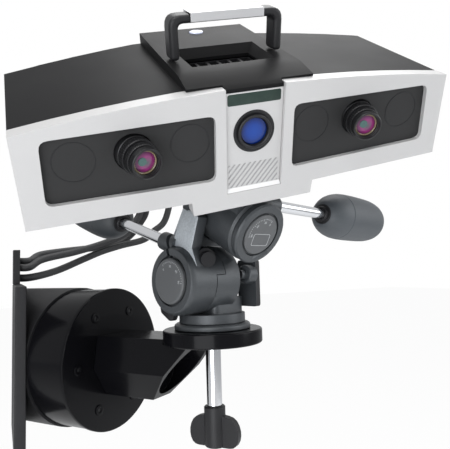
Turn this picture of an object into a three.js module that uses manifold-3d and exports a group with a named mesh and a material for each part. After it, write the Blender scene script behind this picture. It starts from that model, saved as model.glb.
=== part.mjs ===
// Structured-light 3-D scanner on a three-way head, held out from a column by a drum and arm.
// Units are millimetres and degrees, +Z is up, and the scanner faces -Y.
// The origin is the centre of the column pad's flat back, at the height of the drum's axis.

import * as THREE from 'three';
import { mergeVertices } from 'three/addons/utils/BufferGeometryUtils.js';
import Module from 'manifold-3d';

const wasm = await Module();
wasm.setup();

// Fits and cutting allowances
const gap = 0.3; // between neighbours that touch
const overrun = 4; // how far a cutting shape passes the face that it cuts
const bite = 1; // how far a piece of a join sinks into the next
const weld = 0.001; // vertices closer than this are one
const fineSides = 48;
const plainSides = 32;
const smallSides = 20;

// Pose of the head and the scanner at rest
const pose = {
  headYaw: 19.6, // the head's front, from -Y towards +X
  frontTilt: 29.9, // nose down
  sideTilt: -25, // platform leans to the front dial's side
  scannerYaw: -17.5, // how the scanner is screwed to its plate
  drumYaw: 37.06, // the drum's front, from -Y towards +X
};

// Stand: the pad on the column, the drum, its arm and the round base plate
const pad = { thick: 10.5, depth: 132, top: 79, foot: -88, shift: 53.8 };
const drum = {
  radius: 71.8, plateRadius: 72.9, reach: 120.1, plateThick: 4, bandLength: 48.4, castingProud: 2, castingAxis: 95.7,
  wall: 7,
};
const bolt = { headRadius: 4.6, headHeight: 1.2, circleShare: 0.8, counts: 6, firstAngle: 12, sides: 12 };
const arm = {
  topHalf: 26, half: 32, footHalf: 14, top: 26.3, knee: -6, foot: -34, boreRadius: 25, boreDrop: 4.8, boreDepth: 78,
};
const armCut = { atAxis: 90.5, slope: 0.9 };
const plate = { radius: 46.7, thick: 13.1, rise: 35.4, edge: 1 };
const screw = { rodRadius: 7.1, spigotRadius: 4.6, foot: -71, spigotTop: 7 };
const knob = {
  hubRadius: 10, height: 36.4, edge: 1, wingReach: 26, wingThick: 7, wingYaw: -50, wingRoundShare: 0.3,
  // across as a share of the reach, up as a share of the height
  wingShares: [[0, 0.8], [0.8, 0.72], [1, 0.346], [0.85, 0], [0, 0]],
};

// Head: base ring, pan housing, front-tilt frame, side-tilt housing
const base = { ringRadius: 35.8, ringHeight: 5.6, lipRadius: 33.6, lipHeight: 1.8 };
const pan = {
  neckRadius: 31, neckTop: 14.2, axisHeight: 45.7, earRadius: 30.5, earFrom: -21, earTo: 11.5, earEdge: 3,
  stepTo: -10.2, stepUp: 4.4, blockLeft: -14, blockRight: 24, blockHalf: 19.5, blockTop: 28.7, blockRound: 7,
};
const spindle = { radius: 13, bore: 13.3 };
const barrel = {
  radius: 31, dialEnd: -48.8, faceRadius: 29.2, faceEdge: 1, shoulder: -43.5, innerEnd: -21.3, toothEnd: -10.5,
  toothBack: 9.2, recessRadius: 22.6, recessDeep: 3,
};
// The clamp slot runs up from the bore, between the handle's boss and the web
const slot = { wide: 3.4, at: [11.1, 16.7], lean: 49.2, low: -4, high: 52, end: -27 };
const dial = { frontRadius: 20.4, sideRadius: 18.6, proud: 2.5, thick: 3.4, lip: 1.2 };
const cheek = { half: 23, sideAxis: 65.2, back: 41, inner: 28.3, web: 29.6, top: 86 };
// Side outline of the web between the two housings: Y and Z as shares of the height of the side axis
const web = {
  frontShares: [[-0.092, 0.307], [0.138, 0.414], [0.307, 0.813]],
  footShares: [[0.66, 0.353], [0.491, 0.138], [0.307, 0.184]],
};
const bracket = { outer: -25, room: 1.2 };
const shell = {
  radius: 29, front: -30.4, rear: 28, edge: 2, flangeThick: 7, flangeRadius: 28.2, flangeEdge: 1.5, neckHalf: 18,
  neckInset: 3,
};
const platform = {
  half: 31, front: -24, back: 29, round: 8, floor: 33, top: 41, railTop: 46.5, railThick: 5, railShare: 0.7,
};
const quickPlate = { half: 25.4, front: -23.5, back: 28, top: 50.7, foot: 41.3 };
const lever = {
  hubRadius: 7, hubRise: 2, edge: 1, armLength: 34, armRise: 1, thick: 6, wide: 9, tipHalf: 3, round: 3, at: -25,
};
const panLever = {
  stemRadius: 4.2, stemLength: 6, hubRadius: 8.8, hubLength: 11, edge: 1, flapThick: 4.5, flapFront: -6, flapBack: 18,
  flapTop: 13.4, flapFoot: -30.6, flapRound: 3, ahead: -26, up: 3.6,
};
const stud = { radius: 6.7, collarRadius: 9.4, collarTop: 8, top: 14, at: [-26, -5.9, 26.3], turn: [70, -21.7, 0] };

// Handles: a chrome rod and a tapered grip on each tilt clamp
const handle = { rodRadius: 5.2, rodFrom: 0.3, rodTo: 84, collarRadius: 7.8, collarLength: 11, bossRadius: 8.6 };
const grip = {
  from: 76.5, length: 103, belly: 24.3,
  // along as a share of the length, radius as a share of the belly
  skinShares: [
    [0, 0.42], [0.033, 0.63], [0.087, 0.79], [0.163, 0.92], [0.26, 0.985], [0.42, 1], [0.59, 0.99], [0.75, 0.96],
    [0.86, 0.88], [0.935, 0.735], [0.98, 0.5], [1, 0.25],
  ],
};
const frontHandle = { side: -38, back: 37, up: 21.5, dip: 12, bossLength: 22 };
const sideHandle = { side: 31, ahead: -21.3, up: 9.7, dip: 27.7, bossLength: 16 };

// Scanner body, in its own frame: X right, Y back, Z up, front face at Y = 0
const seat = { setBack: 46, height: 97.6 };
const fascia = {
  halfTop: 166, halfFoot: 170, top: 25.5, crown: 11, foot: -43, depth: 12.3, wall: 3.8, rim: 3.2,
  stepHalf: 51.2, stepFootHalf: 50.2, stepTop: -46.9, stepFoot: -58.4,
};
const windowFrame = { innerTop: 30.6, innerFoot: 31.3, outerTop: 149.1, outerFoot: 153.5, top: 19.3 };
const windowFoot = { inner: -31.6, outer: -27.6, round: 6, flange: 2, panelThick: 2 };
const centre = { half: 22.8, top: 32.6, foot: -44.9, face: 3.1, thick: 2, flange: 2.4 };
const apron = { foot: 32.9, lip: 35.4, front: 3.1 };
const display = { half: 20.2, low: 24.2, high: 31.2, face: 3.5, thick: 2.2 };
const projector = {
  height: 2.2, holeRadius: 15.4, ringRadius: 14.9, bezel: 10.4, tip: 0.7, glassRadius: 10.1, edge: 1,
};
const engine = { front: 20, back: 56, half: 24, high: 20, glassAt: 2.6, glassThick: 2 };
const lens = { spread: 88.4, toeIn: 12.3, holeRadius: 13.9, flangeRadius: 13.1, tubeRadius: 9.7, hoodRadius: 10.9 };
const lensAlong = { back: 10, flange: 1.4, focusEnd: -6.6, irisEnd: -12.4, tip: -17.9, bowlDepth: 5.5 };
const rings = {
  focusRadius: 13.2, irisRadius: 12, bore: 10, glassRadius: 8.7, bowlRadius: 9.9, glassThick: 1.6, glassRise: 1,
  glassDrop: 0.6, glassShoulderShare: 0.6,
};
const camera = { half: 14.5, length: 40 };
const cover = {
  front: 12.6, sideBack: 129, centreBack: 153, centreHalf: 56, halfBack: 166.7, topBack: 29.7, crownBack: 7.6,
  wall: 2.5, foot: -41.5,
};
const tray = { top: -43.6, thick: 3, railHalf: 2.5, railAt: 96, railTop: -36.3 };
const rear = { thick: 3, top: 22, inset: 0.4 };
const block = { half: 48.5, front: 7.9, lip: 37.6, crease: 28.7, creaseTop: 42, back: 152, backTop: 46.2, foot: 30 };
const recess = { half: 36, front: 35, back: 92, floorHalf: 27, floorFront: 58, floorBack: 82, floor: 36 };
const grille = { bars: 5, barWide: 2.2, thick: 2.4, rim: 2.4 };
const fan = {
  half: 20, high: 10, boreRadius: 18.4, tip: 17.6, hub: 7, blades: 7, bladeThick: 1.6, bladeShare: 0.84,
  pitch: 38, at: 70,
};
const fanWeb = { thick: 1.6, wide: 3, lip: 1, pinRadius: 2, pinFit: 0.4, pinDrop: 2, pinCover: 0.7 };
const carry = {
  outer: 45.4, inner: 38.2, top: 76, underside: 69.8, front: 55.2, back: 71.8, bend: 9, innerBend: 4.05,
  foot: 44,
};
const sleeve = { half: 29, top: 77.2, front: 54.2, back: 72.8, low: 70.8 };
const button = { radius: 6.4, edge: 0.8, at: 137, foot: 43, top: 47.6, well: 41.6 };
const bench = { half: 146, front: 15, back: 60, top: -14.8, thick: 3, leg: 3, foot: -43.3 };
const board = { half: 112, front: 68, back: 130, thick: 1.6 };
const gland = { at: [-8, 14, 36], height: -6, rootRadius: 8, tipRadius: 5.8, length: 24, nutRadius: 9.6, nut: 5 };

// Cables from the scanner's back to the clamp on the column pad
const cable = { radius: 4.5, sides: 8, steps: 44, straight: 14 };
const clamp = { wide: 30, inset: 0.4, deep: 7.5, high: 40, socketDeep: 4.5, socketRadius: 4.9 };
// Each route is a list of X, Y, Z points between its gland and its socket, from the centre of the base plate's top
const routes = [
  {
    name: 'cable_data_a', socketRise: 19.5, socketIn: 19.5,
    points: [
      [-19, 62, 279], [-18, 112, 286], [-17, 160, 269], [-17, 197, 228], [-18, 217, 178], [-9.4, 225, 135.7],
      [-16.1, 227, 122], [-26.4, 231, 108.5], [-36.3, 236, 102], [-58.9, 238, 92.7], [-94.9, 232, 82.2],
      [-137.7, 216, 72.2],
    ],
  },
  {
    name: 'cable_data_b', socketRise: 27, socketIn: 9,
    points: [
      [2, 62, 283], [2, 112, 292], [0, 160, 277], [-2, 201, 235], [-4, 226, 184], [3.9, 243, 138],
      [-2.5, 247, 124.1], [-15.3, 254, 106.1], [-28.8, 258, 96.4], [-49.6, 259, 90.3], [-79.6, 258, 87.1],
      [-108.8, 254, 83.9], [-137.1, 243, 79.3],
    ],
  },
  {
    name: 'cable_power', socketRise: 7, socketIn: 13,
    points: [
      [25, 62, 285], [30, 112, 294], [36, 165, 280], [40, 205, 232], [39, 225, 178], [27.1, 233, 123],
      [13.4, 237, 110.5], [1.1, 240, 99.4], [-32.2, 243, 90.6], [-58.3, 242, 82.8], [-82.2, 241, 73],
      [-118.3, 234, 58.2],
    ],
  },
];

const materials = {
  silver: new THREE.MeshStandardMaterial({ color: 0xd5d4d4, roughness: 0.42, metalness: 0.25 }),
  shell: new THREE.MeshStandardMaterial({ color: 0x46464a, roughness: 0.5, metalness: 0.1 }),
  panel: new THREE.MeshStandardMaterial({ color: 0x3b3b3d, roughness: 0.55, metalness: 0 }),
  black: new THREE.MeshStandardMaterial({ color: 0x232325, roughness: 0.5, metalness: 0.05 }),
  gloss: new THREE.MeshStandardMaterial({ color: 0x151617, roughness: 0.12, metalness: 0.2 }),
  texture: new THREE.MeshStandardMaterial({ color: 0x202225, roughness: 0.7, metalness: 0.1 }),
  casting: new THREE.MeshStandardMaterial({ color: 0x55585b, roughness: 0.55, metalness: 0.3 }),
  label: new THREE.MeshStandardMaterial({ color: 0x5c6063, roughness: 0.5, metalness: 0.1 }),
  rubber: new THREE.MeshStandardMaterial({ color: 0x5a6268, roughness: 0.7, metalness: 0 }),
  chrome: new THREE.MeshStandardMaterial({ color: 0xd8dadc, roughness: 0.08, metalness: 1 }),
  glass: new THREE.MeshStandardMaterial({ color: 0x5a2a60, roughness: 0.05, metalness: 0 }),
  blueGlass: new THREE.MeshStandardMaterial({ color: 0x2350aa, roughness: 0.05, metalness: 0 }),
  display: new THREE.MeshStandardMaterial({ color: 0x37463f, roughness: 0.15, metalness: 0 }),
  steel: new THREE.MeshStandardMaterial({ color: 0x9a9da0, roughness: 0.35, metalness: 0.9 }),
  board: new THREE.MeshStandardMaterial({ color: 0x1f5a38, roughness: 0.5, metalness: 0 }),
  light: new THREE.MeshStandardMaterial({ color: 0xdfe2f2, roughness: 0.15, metalness: 0.2 }),
};

const radians = THREE.MathUtils.degToRad;

// The pad's face is where the drum's axis meets the column
const padReach = drum.reach + drum.bandLength + drum.castingAxis;
const column = {
  standOff: padReach * Math.sin(radians(pose.drumYaw)) + pad.thick,
  setBack: padReach * Math.cos(radians(pose.drumYaw)) - pad.shift,
};
const padEdge = column.setBack + pad.depth / 2;

function ringPoints(radius, sides) {
  const points = [];
  for (let i = 0; i < sides; i += 1) {
    const angle = (2 * Math.PI * i) / sides;
    points.push(new THREE.Vector2(radius * Math.cos(angle), radius * Math.sin(angle)));
  }
  return points;
}

// Solids and booleans

function weldedMesh(geometry) {
  const bare = geometry.index ? geometry.toNonIndexed() : geometry.clone();
  for (const name of Object.keys(bare.attributes)) {
    if (name !== 'position') bare.deleteAttribute(name);
  }
  const merged = mergeVertices(bare, weld);
  const places = merged.attributes.position.array;
  const corners = [];
  let volume = 0;
  for (let i = 0; i < merged.index.count; i += 3) {
    const [a, b, c] = [0, 1, 2].map((k) => merged.index.getX(i + k));
    if (a === b || b === c || c === a) continue;
    corners.push(a, b, c);
    const [p, q, r] = [a, b, c].map((v) => new THREE.Vector3().fromArray(places, 3 * v));
    volume += p.dot(q.cross(r));
  }
  if (volume < 0) corners.reverse();
  return { places: new Float32Array(places), corners: new Uint32Array(corners) };
}

function solid(geometry) {
  const mesh = weldedMesh(geometry);
  return new wasm.Manifold(new wasm.Mesh({ numProp: 3, vertProperties: mesh.places, triVerts: mesh.corners }));
}

function join(first, ...rest) {
  return rest.reduce((whole, piece) => whole.add(piece), first);
}

function cut(first, ...rest) {
  return rest.reduce((whole, piece) => whole.subtract(piece), first);
}

function piece(group, name, shape, material) {
  const mesh = shape.simplify(weld * 8).getMesh();
  const geometry = new THREE.BufferGeometry();
  geometry.setAttribute('position', new THREE.BufferAttribute(new Float32Array(mesh.vertProperties), 3));
  geometry.setIndex(new THREE.BufferAttribute(new Uint32Array(mesh.triVerts), 1));
  geometry.computeVertexNormals();
  const object = new THREE.Mesh(geometry, material);
  object.name = name;
  group.add(object);
  return object;
}

function subgroup(parent, place = [0, 0, 0], turn = [0, 0, 0]) {
  const group = new THREE.Group();
  group.position.set(...place);
  group.rotation.set(...turn.map(radians));
  parent.add(group);
  return group;
}

// Shapes: each turn and move is in degrees and millimetres, and the turn comes first

function placed(geometry, move = [0, 0, 0], turn = [0, 0, 0]) {
  geometry.applyMatrix4(new THREE.Matrix4().makeRotationFromEuler(new THREE.Euler(...turn.map(radians))));
  geometry.translate(...move);
  return solid(geometry);
}

function box(x0, x1, y0, y1, z0, z1, move, turn) {
  const geometry = new THREE.BoxGeometry(x1 - x0, y1 - y0, z1 - z0);
  geometry.translate((x0 + x1) / 2, (y0 + y1) / 2, (z0 + z1) / 2);
  return placed(geometry, move, turn);
}

const turnTo = { x: [0, 90, 0], y: [-90, 0, 0], z: [0, 0, 0] };

function turned(profile, sides = plainSides, axis = 'z', move = [0, 0, 0]) {
  const geometry = new THREE.LatheGeometry(profile.map(([r, h]) => new THREE.Vector2(r, h)), sides);
  geometry.rotateX(Math.PI / 2);
  return placed(geometry, move, turnTo[axis]);
}

function round(radius, from, to, sides = plainSides, axis = 'z', move = [0, 0, 0]) {
  return turned([[0, from], [radius, from], [radius, to], [0, to]], sides, axis, move);
}

function bevelled(radius, from, to, edge, sides = plainSides, axis = 'z', move = [0, 0, 0]) {
  const profile = [[0, from], [radius - edge, from], [radius, from + edge], [radius, to - edge], [radius - edge, to]];
  return turned([...profile, [0, to]], sides, axis, move);
}

function extruded(points, depth) {
  const shape = new THREE.Shape(points.map(([a, b]) => new THREE.Vector2(a, b)));
  return new THREE.ExtrudeGeometry(shape, { depth, bevelEnabled: false, curveSegments: 1, steps: 1 });
}

// A plan outline of X, Y points, from one height to another
function slab(points, low, high) {
  const geometry = extruded(points, high - low);
  geometry.translate(0, 0, low);
  return solid(geometry);
}

// A front outline of X, Z points, from one depth to another
function frontal(points, front, back) {
  const geometry = extruded(points, back - front);
  geometry.rotateX(Math.PI / 2);
  geometry.translate(0, back, 0);
  return solid(geometry);
}

// A side outline of Y, Z points, from one X to another
function sideways(points, left, right) {
  const geometry = extruded(points, right - left);
  geometry.rotateX(Math.PI / 2);
  geometry.rotateZ(Math.PI / 2);
  geometry.translate(left, 0, 0);
  return solid(geometry);
}

// An outline with its corners rounded
function rounded(points, radius, steps = 4) {
  const out = [];
  points.forEach((point, i) => {
    const here = new THREE.Vector2(...point);
    const before = new THREE.Vector2(...points[(i + points.length - 1) % points.length]).sub(here);
    const after = new THREE.Vector2(...points[(i + 1) % points.length]).sub(here);
    const reach = Math.min(radius, before.length() / 2, after.length() / 2);
    const start = before.setLength(reach).add(here);
    const end = after.setLength(reach).add(here);
    for (let k = 0; k <= steps; k += 1) {
      const t = k / steps;
      const spot = start.clone().multiplyScalar((1 - t) * (1 - t));
      spot.addScaledVector(here, 2 * t * (1 - t)).addScaledVector(end, t * t);
      out.push([spot.x, spot.y]);
    }
  });
  return out;
}

// A skin through closed sections that have the same number of points, with flat ends
function lofted(sections) {
  const count = sections[0].length;
  const places = sections.flat(2);
  const corners = [];
  const flat = sections[0].map(([x, , z]) => new THREE.Vector2(x, z));
  const caps = THREE.ShapeUtils.triangulateShape(flat, []);
  const last = (sections.length - 1) * count;
  for (const [a, b, c] of caps) corners.push(a, b, c, last + c, last + b, last + a);
  for (let s = 0; s + 1 < sections.length; s += 1) {
    for (let i = 0; i < count; i += 1) {
      const j = (i + 1) % count;
      const [a, b, c, d] = [s * count + i, s * count + j, (s + 1) * count + i, (s + 1) * count + j];
      corners.push(b, a, c, b, c, d);
    }
  }
  const geometry = new THREE.BufferGeometry();
  geometry.setAttribute('position', new THREE.Float32BufferAttribute(places, 3));
  geometry.setIndex(corners);
  return solid(geometry);
}

// Frames: each group turns as its joint does
const scannerUnit = new THREE.Group();
const stand = subgroup(scannerUnit, [column.standOff, -column.setBack, plate.rise]);
const drumFrame = subgroup(stand, [0, 0, -plate.rise], [0, 0, pose.drumYaw]);
const panFrame = subgroup(stand, [0, 0, 0], [0, 0, pose.headYaw]);
const frontFrame = subgroup(panFrame, [0, 0, pan.axisHeight], [pose.frontTilt, 0, 0]);
const sideFrame = subgroup(frontFrame, [0, 0, cheek.sideAxis], [0, pose.sideTilt, 0]);
const yawFrame = subgroup(sideFrame, [0, 0, 0], [0, 0, pose.scannerYaw]);
const scanner = subgroup(yawFrame, [0, -seat.setBack, seat.height]);

// Column pad and the casting behind the drum
function buildColumn() {
  const back = -column.standOff;
  const face = back + pad.thick;
  const near = column.setBack - pad.depth / 2;
  const padTop = pad.top - plate.rise;
  const padFoot = pad.foot - plate.rise;
  piece(stand, 'column_pad', box(back, face, near, padEdge, padFoot, padTop), materials.texture);

  const start = drum.reach + drum.bandLength + gap;
  const radius = drum.radius + drum.castingProud;
  const beyond = padReach * 2;
  const drumTube = (size, from) => placed(
    new THREE.CylinderGeometry(size, size, beyond - from, fineSides).translate(0, (beyond + from) / 2, 0),
    [0, 0, -plate.rise], [0, 0, pose.drumYaw],
  );
  const behind = (x) => box(x - beyond, x, -beyond, beyond, -beyond, beyond);
  const past = (y) => box(-beyond, beyond, y, y + beyond, -beyond, beyond);
  const outer = cut(drumTube(radius, start), behind(face + gap), past(padEdge));
  const hollow = cut(drumTube(radius - drum.wall, start + drum.wall), past(padEdge - drum.wall));
  piece(stand, 'rear_casting', cut(outer, hollow), materials.texture);
}

// Drum band, its bolted front plate, and the arm that stands out of it
function buildDrum() {
  const plateBack = drum.reach + drum.plateThick;
  const inner = drum.radius - drum.wall;
  const bandEnd = drum.reach + drum.bandLength;
  const band = turned([
    [inner, plateBack + gap], [drum.radius, plateBack + gap], [drum.radius, bandEnd], [inner, bandEnd],
    [inner, plateBack + gap],
  ], fineSides, 'y');
  piece(drumFrame, 'drum_band', band, materials.gloss);

  let cap = bevelled(drum.plateRadius, drum.reach, plateBack, drum.plateThick / 4, fineSides, 'y');
  for (let i = 0; i < bolt.counts; i += 1) {
    const angle = radians(bolt.firstAngle + (360 / bolt.counts) * i);
    const at = drum.radius * bolt.circleShare;
    const spot = [at * Math.cos(angle), 0, at * Math.sin(angle)];
    cap = join(cap, round(bolt.headRadius, drum.reach - bolt.headHeight, plateBack, bolt.sides, 'y', spot));
  }
  piece(drumFrame, 'drum_front_plate', cap, materials.gloss);

  const section = [
    [-arm.topHalf, arm.top], [-arm.half, arm.knee], [-arm.footHalf, arm.foot],
    [arm.footHalf, arm.foot], [arm.half, arm.knee], [arm.topHalf, arm.top],
  ];
  const root = drum.reach - gap;
  const tip = drum.reach - armCut.atAxis;
  const bar = frontal(section, tip - armCut.slope * arm.top - overrun, root);
  const beyond = armCut.atAxis;
  const mitre = sideways([
    [tip - armCut.slope * (arm.top + overrun), arm.top + overrun],
    [tip - armCut.slope * (arm.foot - overrun), arm.foot - overrun],
    [tip - beyond, arm.foot - overrun],
    [tip - beyond, arm.top + overrun],
  ], -arm.half - overrun, arm.half + overrun);
  const boreEnd = tip + arm.boreDepth - beyond / 2;
  const bore = round(arm.boreRadius, tip - beyond, boreEnd, plainSides, 'y', [0, 0, -arm.boreDrop]);
  const rest = round(plate.radius + gap, plate.rise - plate.thick - gap * 2, arm.top + overrun, fineSides);
  const screwWay = round(screw.rodRadius + gap * 4, arm.foot - overrun, arm.top + overrun, smallSides);
  piece(drumFrame, 'support_arm', cut(bar, mitre, bore, rest, screwWay), materials.gloss);
}

// Base plate, the screw through it and the winged knob
function buildBasePlate() {
  const top = -gap;
  const foot = top - plate.thick;
  const disc = bevelled(plate.radius, foot, top, plate.edge, fineSides);
  const hole = round(screw.spigotRadius + gap, foot - overrun, top + overrun, smallSides);
  piece(stand, 'base_plate', cut(disc, hole), materials.gloss);

  const shoulder = foot - gap;
  const rod = turned([
    [0, screw.foot], [screw.rodRadius, screw.foot], [screw.rodRadius, shoulder],
    [screw.spigotRadius, shoulder], [screw.spigotRadius, screw.spigotTop], [0, screw.spigotTop],
  ], smallSides);
  piece(stand, 'fixing_screw', rod, materials.chrome);

  const knobTop = screw.foot - gap;
  const knobFoot = knobTop - knob.height;
  const hub = bevelled(knob.hubRadius, knobFoot, knobTop, knob.edge, smallSides);
  const wingShape = (sign) => rounded(knob.wingShares.map(([across, up]) => [
    sign * knob.wingReach * across, knobFoot + knob.height * up,
  ]), knob.wingReach * knob.wingRoundShare, 3);
  const wings = [-1, 1].map((sign) => frontal(wingShape(sign), -knob.wingThick / 2, knob.wingThick / 2));
  const turn = subgroup(stand, [0, 0, 0], [0, 0, knob.wingYaw]);
  piece(turn, 'wing_knob', join(hub, ...wings), materials.black);
}

// The head's fixed ring and the pan housing with its tilt spindle
function buildPan() {
  const ring = turned([
    [screw.spigotRadius + gap, 0], [base.ringRadius, 0], [base.ringRadius, base.ringHeight - base.lipHeight],
    [base.lipRadius, base.ringHeight], [screw.spigotRadius + gap, base.ringHeight],
    [screw.spigotRadius + gap, 0],
  ], fineSides);
  piece(stand, 'pan_base_ring', ring, materials.casting);

  const axis = pan.axisHeight;
  const neck = round(pan.neckRadius, base.ringHeight + gap, pan.neckTop, fineSides);
  const block = slab(rounded([
    [pan.blockLeft, -pan.blockHalf], [pan.blockRight, -pan.blockHalf],
    [pan.blockRight, pan.blockHalf], [pan.blockLeft, pan.blockHalf],
  ], pan.blockRound), base.ringHeight + gap * 2, pan.blockTop);
  const ear = bevelled(pan.earRadius, pan.earFrom, pan.earTo, pan.earEdge, plainSides, 'x', [0, 0, axis]);
  const earStart = round(pan.earRadius, pan.earFrom, pan.stepTo, plainSides, 'x', [0, 0, axis]);
  const wide = pan.earRadius + overrun;
  const step = box(pan.earFrom - overrun, pan.stepTo, -wide, wide, axis + pan.stepUp, axis + wide);
  const endWeb = barrel.dialEnd + barrel.recessDeep;
  const pin = round(spindle.radius, endWeb, pan.stepTo + overrun, plainSides, 'x', [0, 0, axis]);
  const way = round(screw.spigotRadius + gap, 0, screw.spigotTop + gap, smallSides);
  const body = cut(join(neck, block, ear, earStart), step);
  piece(panFrame, 'pan_housing', cut(join(body, pin), way), materials.casting);

  const hubEnd = panLever.stemLength + panLever.hubLength;
  const stem = round(panLever.stemRadius, 0, hubEnd, smallSides, 'x');
  const hub = bevelled(panLever.hubRadius, panLever.stemLength, hubEnd, panLever.edge, smallSides, 'x');
  const flap = sideways(rounded([
    [panLever.flapFront, panLever.flapFoot], [panLever.flapBack, panLever.flapFoot],
    [panLever.flapBack, panLever.flapTop], [panLever.flapFront, panLever.flapTop],
  ], panLever.flapRound), hubEnd - panLever.edge, hubEnd + panLever.flapThick);
  const leverFrame = subgroup(panFrame, [pan.earTo + gap, panLever.ahead, axis + panLever.up]);
  piece(leverFrame, 'pan_lock_lever', join(stem, hub, flap), materials.black);
}

// The frame that tips forward and back, with its dial and the side-tilt spindle
function buildFrontFrame() {
  const tube = turned([
    [0, barrel.dialEnd], [barrel.faceRadius - barrel.faceEdge, barrel.dialEnd],
    [barrel.faceRadius, barrel.dialEnd + barrel.faceEdge], [barrel.radius, barrel.shoulder],
    [barrel.radius, barrel.innerEnd], [0, barrel.innerEnd],
  ], fineSides, 'x');
  const recessFloor = barrel.dialEnd + barrel.recessDeep;
  const recessCut = round(barrel.recessRadius, barrel.dialEnd - overrun, recessFloor, plainSides, 'x');
  const bore = round(spindle.bore, barrel.dialEnd - overrun, barrel.toothEnd + overrun, plainSides, 'x');
  // The tooth reaches over the pan housing's step, which stops the tilt at this pose
  const reach = barrel.radius + overrun;
  const level = [[0, 0, 0], [-pose.frontTilt, 0, 0]];
  const underStep = box(
    barrel.innerEnd, barrel.toothEnd + overrun, -reach, reach, -reach, pan.stepUp + gap, ...level,
  );
  const behindTooth = box(barrel.innerEnd, barrel.toothEnd + overrun, 0, reach, -reach, barrel.toothBack);
  const toothRing = round(barrel.radius, barrel.innerEnd - overrun, barrel.toothEnd, fineSides, 'x');
  const tooth = cut(toothRing, underStep, behindTooth);
  const onWeb = (shares) => shares.map((pair) => pair.map((share) => share * cheek.sideAxis));
  const webBlock = sideways([
    ...onWeb(web.frontShares), [cheek.web, cheek.sideAxis - spindle.radius], [cheek.web, cheek.top],
    [cheek.back - bite, cheek.top], ...onWeb(web.footShares),
  ], bracket.outer, cheek.half);
  const pivot = [0, 0, cheek.sideAxis];
  const crown = round(shell.flangeRadius, cheek.inner, cheek.back, plainSides, 'y', pivot);
  const pin = round(spindle.radius, shell.front - gap - bite, cheek.inner + bite, plainSides, 'y', pivot);
  const flange = bevelled(
    shell.flangeRadius, shell.front - gap - shell.flangeThick, shell.front - gap, shell.flangeEdge,
    plainSides, 'y', pivot,
  );
  const earRoom = round(pan.earRadius + bracket.room, barrel.toothEnd, pan.earTo + overrun * 4, plainSides, 'x');
  const shellRoom = round(shell.radius + bracket.room, shell.front - gap, cheek.inner + gap, plainSides, 'y', pivot);
  const dip = [-frontHandle.dip, 0, 0];
  const bossAt = [frontHandle.side, frontHandle.back, frontHandle.up];
  const boss = placed(
    new THREE.CylinderGeometry(handle.bossRadius, handle.bossRadius, frontHandle.bossLength, smallSides)
      .translate(0, -frontHandle.bossLength / 2, 0), bossAt, dip,
  );
  const slit = box(
    barrel.dialEnd - overrun, slot.end, -slot.wide / 2, slot.wide / 2, slot.low, slot.high, [0, ...slot.at],
    [-slot.lean, 0, 0],
  );
  const cheekWeb = cut(webBlock, earRoom, shellRoom);
  const frame = join(cut(join(tube, boss), slit, recessCut), tooth, cheekWeb, crown, pin, flange);
  piece(frontFrame, 'front_tilt_frame', cut(frame, bore), materials.casting);

  const post = placed(
    new THREE.LatheGeometry([
      [0, 0], [stud.collarRadius, 0], [stud.collarRadius, stud.collarTop], [stud.radius, stud.collarTop],
      [stud.radius, stud.top], [0, stud.top],
    ].map(([r, h]) => new THREE.Vector2(r, h)), smallSides).rotateX(Math.PI / 2), stud.at, stud.turn,
  );
  const below = round(barrel.radius + gap, barrel.dialEnd, pan.earTo, fineSides, 'x');
  piece(frontFrame, 'tilt_stud', cut(post, below), materials.black);

  const face = [barrel.dialEnd - dial.proud, barrel.dialEnd + barrel.recessDeep - gap];
  const frontDial = bevelled(dial.frontRadius, ...face, dial.lip, plainSides, 'x', [0, 0, pan.axisHeight]);
  piece(panFrame, 'front_tilt_dial', frontDial, materials.label);

  const sideFace = shell.front - gap * 2 - shell.flangeThick;
  const sideDial = bevelled(dial.sideRadius, sideFace - dial.thick, sideFace, dial.lip, plainSides, 'y', pivot);
  piece(frontFrame, 'side_tilt_dial', sideDial, materials.label);
}

// The housing that tips sideways, its platform, quick plate and lever
function buildSideHousing() {
  const tube = bevelled(shell.radius, shell.front, shell.rear, shell.edge, fineSides, 'y');
  const bore = round(spindle.bore, shell.front - overrun, shell.rear + overrun, plainSides, 'y');
  const neck = box(
    -shell.neckHalf, shell.neckHalf, shell.front + shell.neckInset, shell.rear - shell.neckInset, shell.neckHalf,
    platform.floor + bite,
  );
  const deck = slab(rounded([
    [-platform.half, platform.front], [platform.half, platform.front],
    [platform.half, platform.back], [-platform.half, platform.back],
  ], platform.round), platform.floor, platform.top);
  const rails = [-1, 1].map((sign) => {
    const inner = sign * (platform.half - platform.railThick);
    const outer = sign * platform.half;
    return box(
      Math.min(inner, outer), Math.max(inner, outer), platform.front * platform.railShare,
      platform.back * platform.railShare, platform.top - bite, platform.railTop,
    );
  });
  const boss = placed(
    new THREE.CylinderGeometry(handle.bossRadius, handle.bossRadius, sideHandle.bossLength, smallSides)
      .rotateZ(Math.PI / 2).translate(-sideHandle.bossLength / 2, 0, 0),
    [sideHandle.side, sideHandle.ahead, sideHandle.up], [0, sideHandle.dip, 0],
  );
  const housing = cut(join(tube, neck, deck, ...rails, boss), bore);
  piece(sideFrame, 'side_tilt_housing', housing, materials.casting);

  const wedge = box(
    -quickPlate.half, quickPlate.half, quickPlate.front, quickPlate.back, quickPlate.foot, quickPlate.top,
  );
  piece(sideFrame, 'quick_release_plate', wedge, materials.black);

  const hub = bevelled(lever.hubRadius, 0, lever.thick + lever.hubRise, lever.edge, smallSides);
  const armShape = slab(rounded([
    [0, -lever.wide / 2], [lever.armLength, -lever.tipHalf], [lever.armLength, lever.tipHalf], [0, lever.wide / 2],
  ], lever.round), lever.armRise, lever.thick);
  const spot = [lever.at, platform.back + lever.hubRadius + gap * 2, platform.floor];
  piece(subgroup(sideFrame, spot), 'release_lever', join(hub, armShape), materials.black);
}

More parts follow.
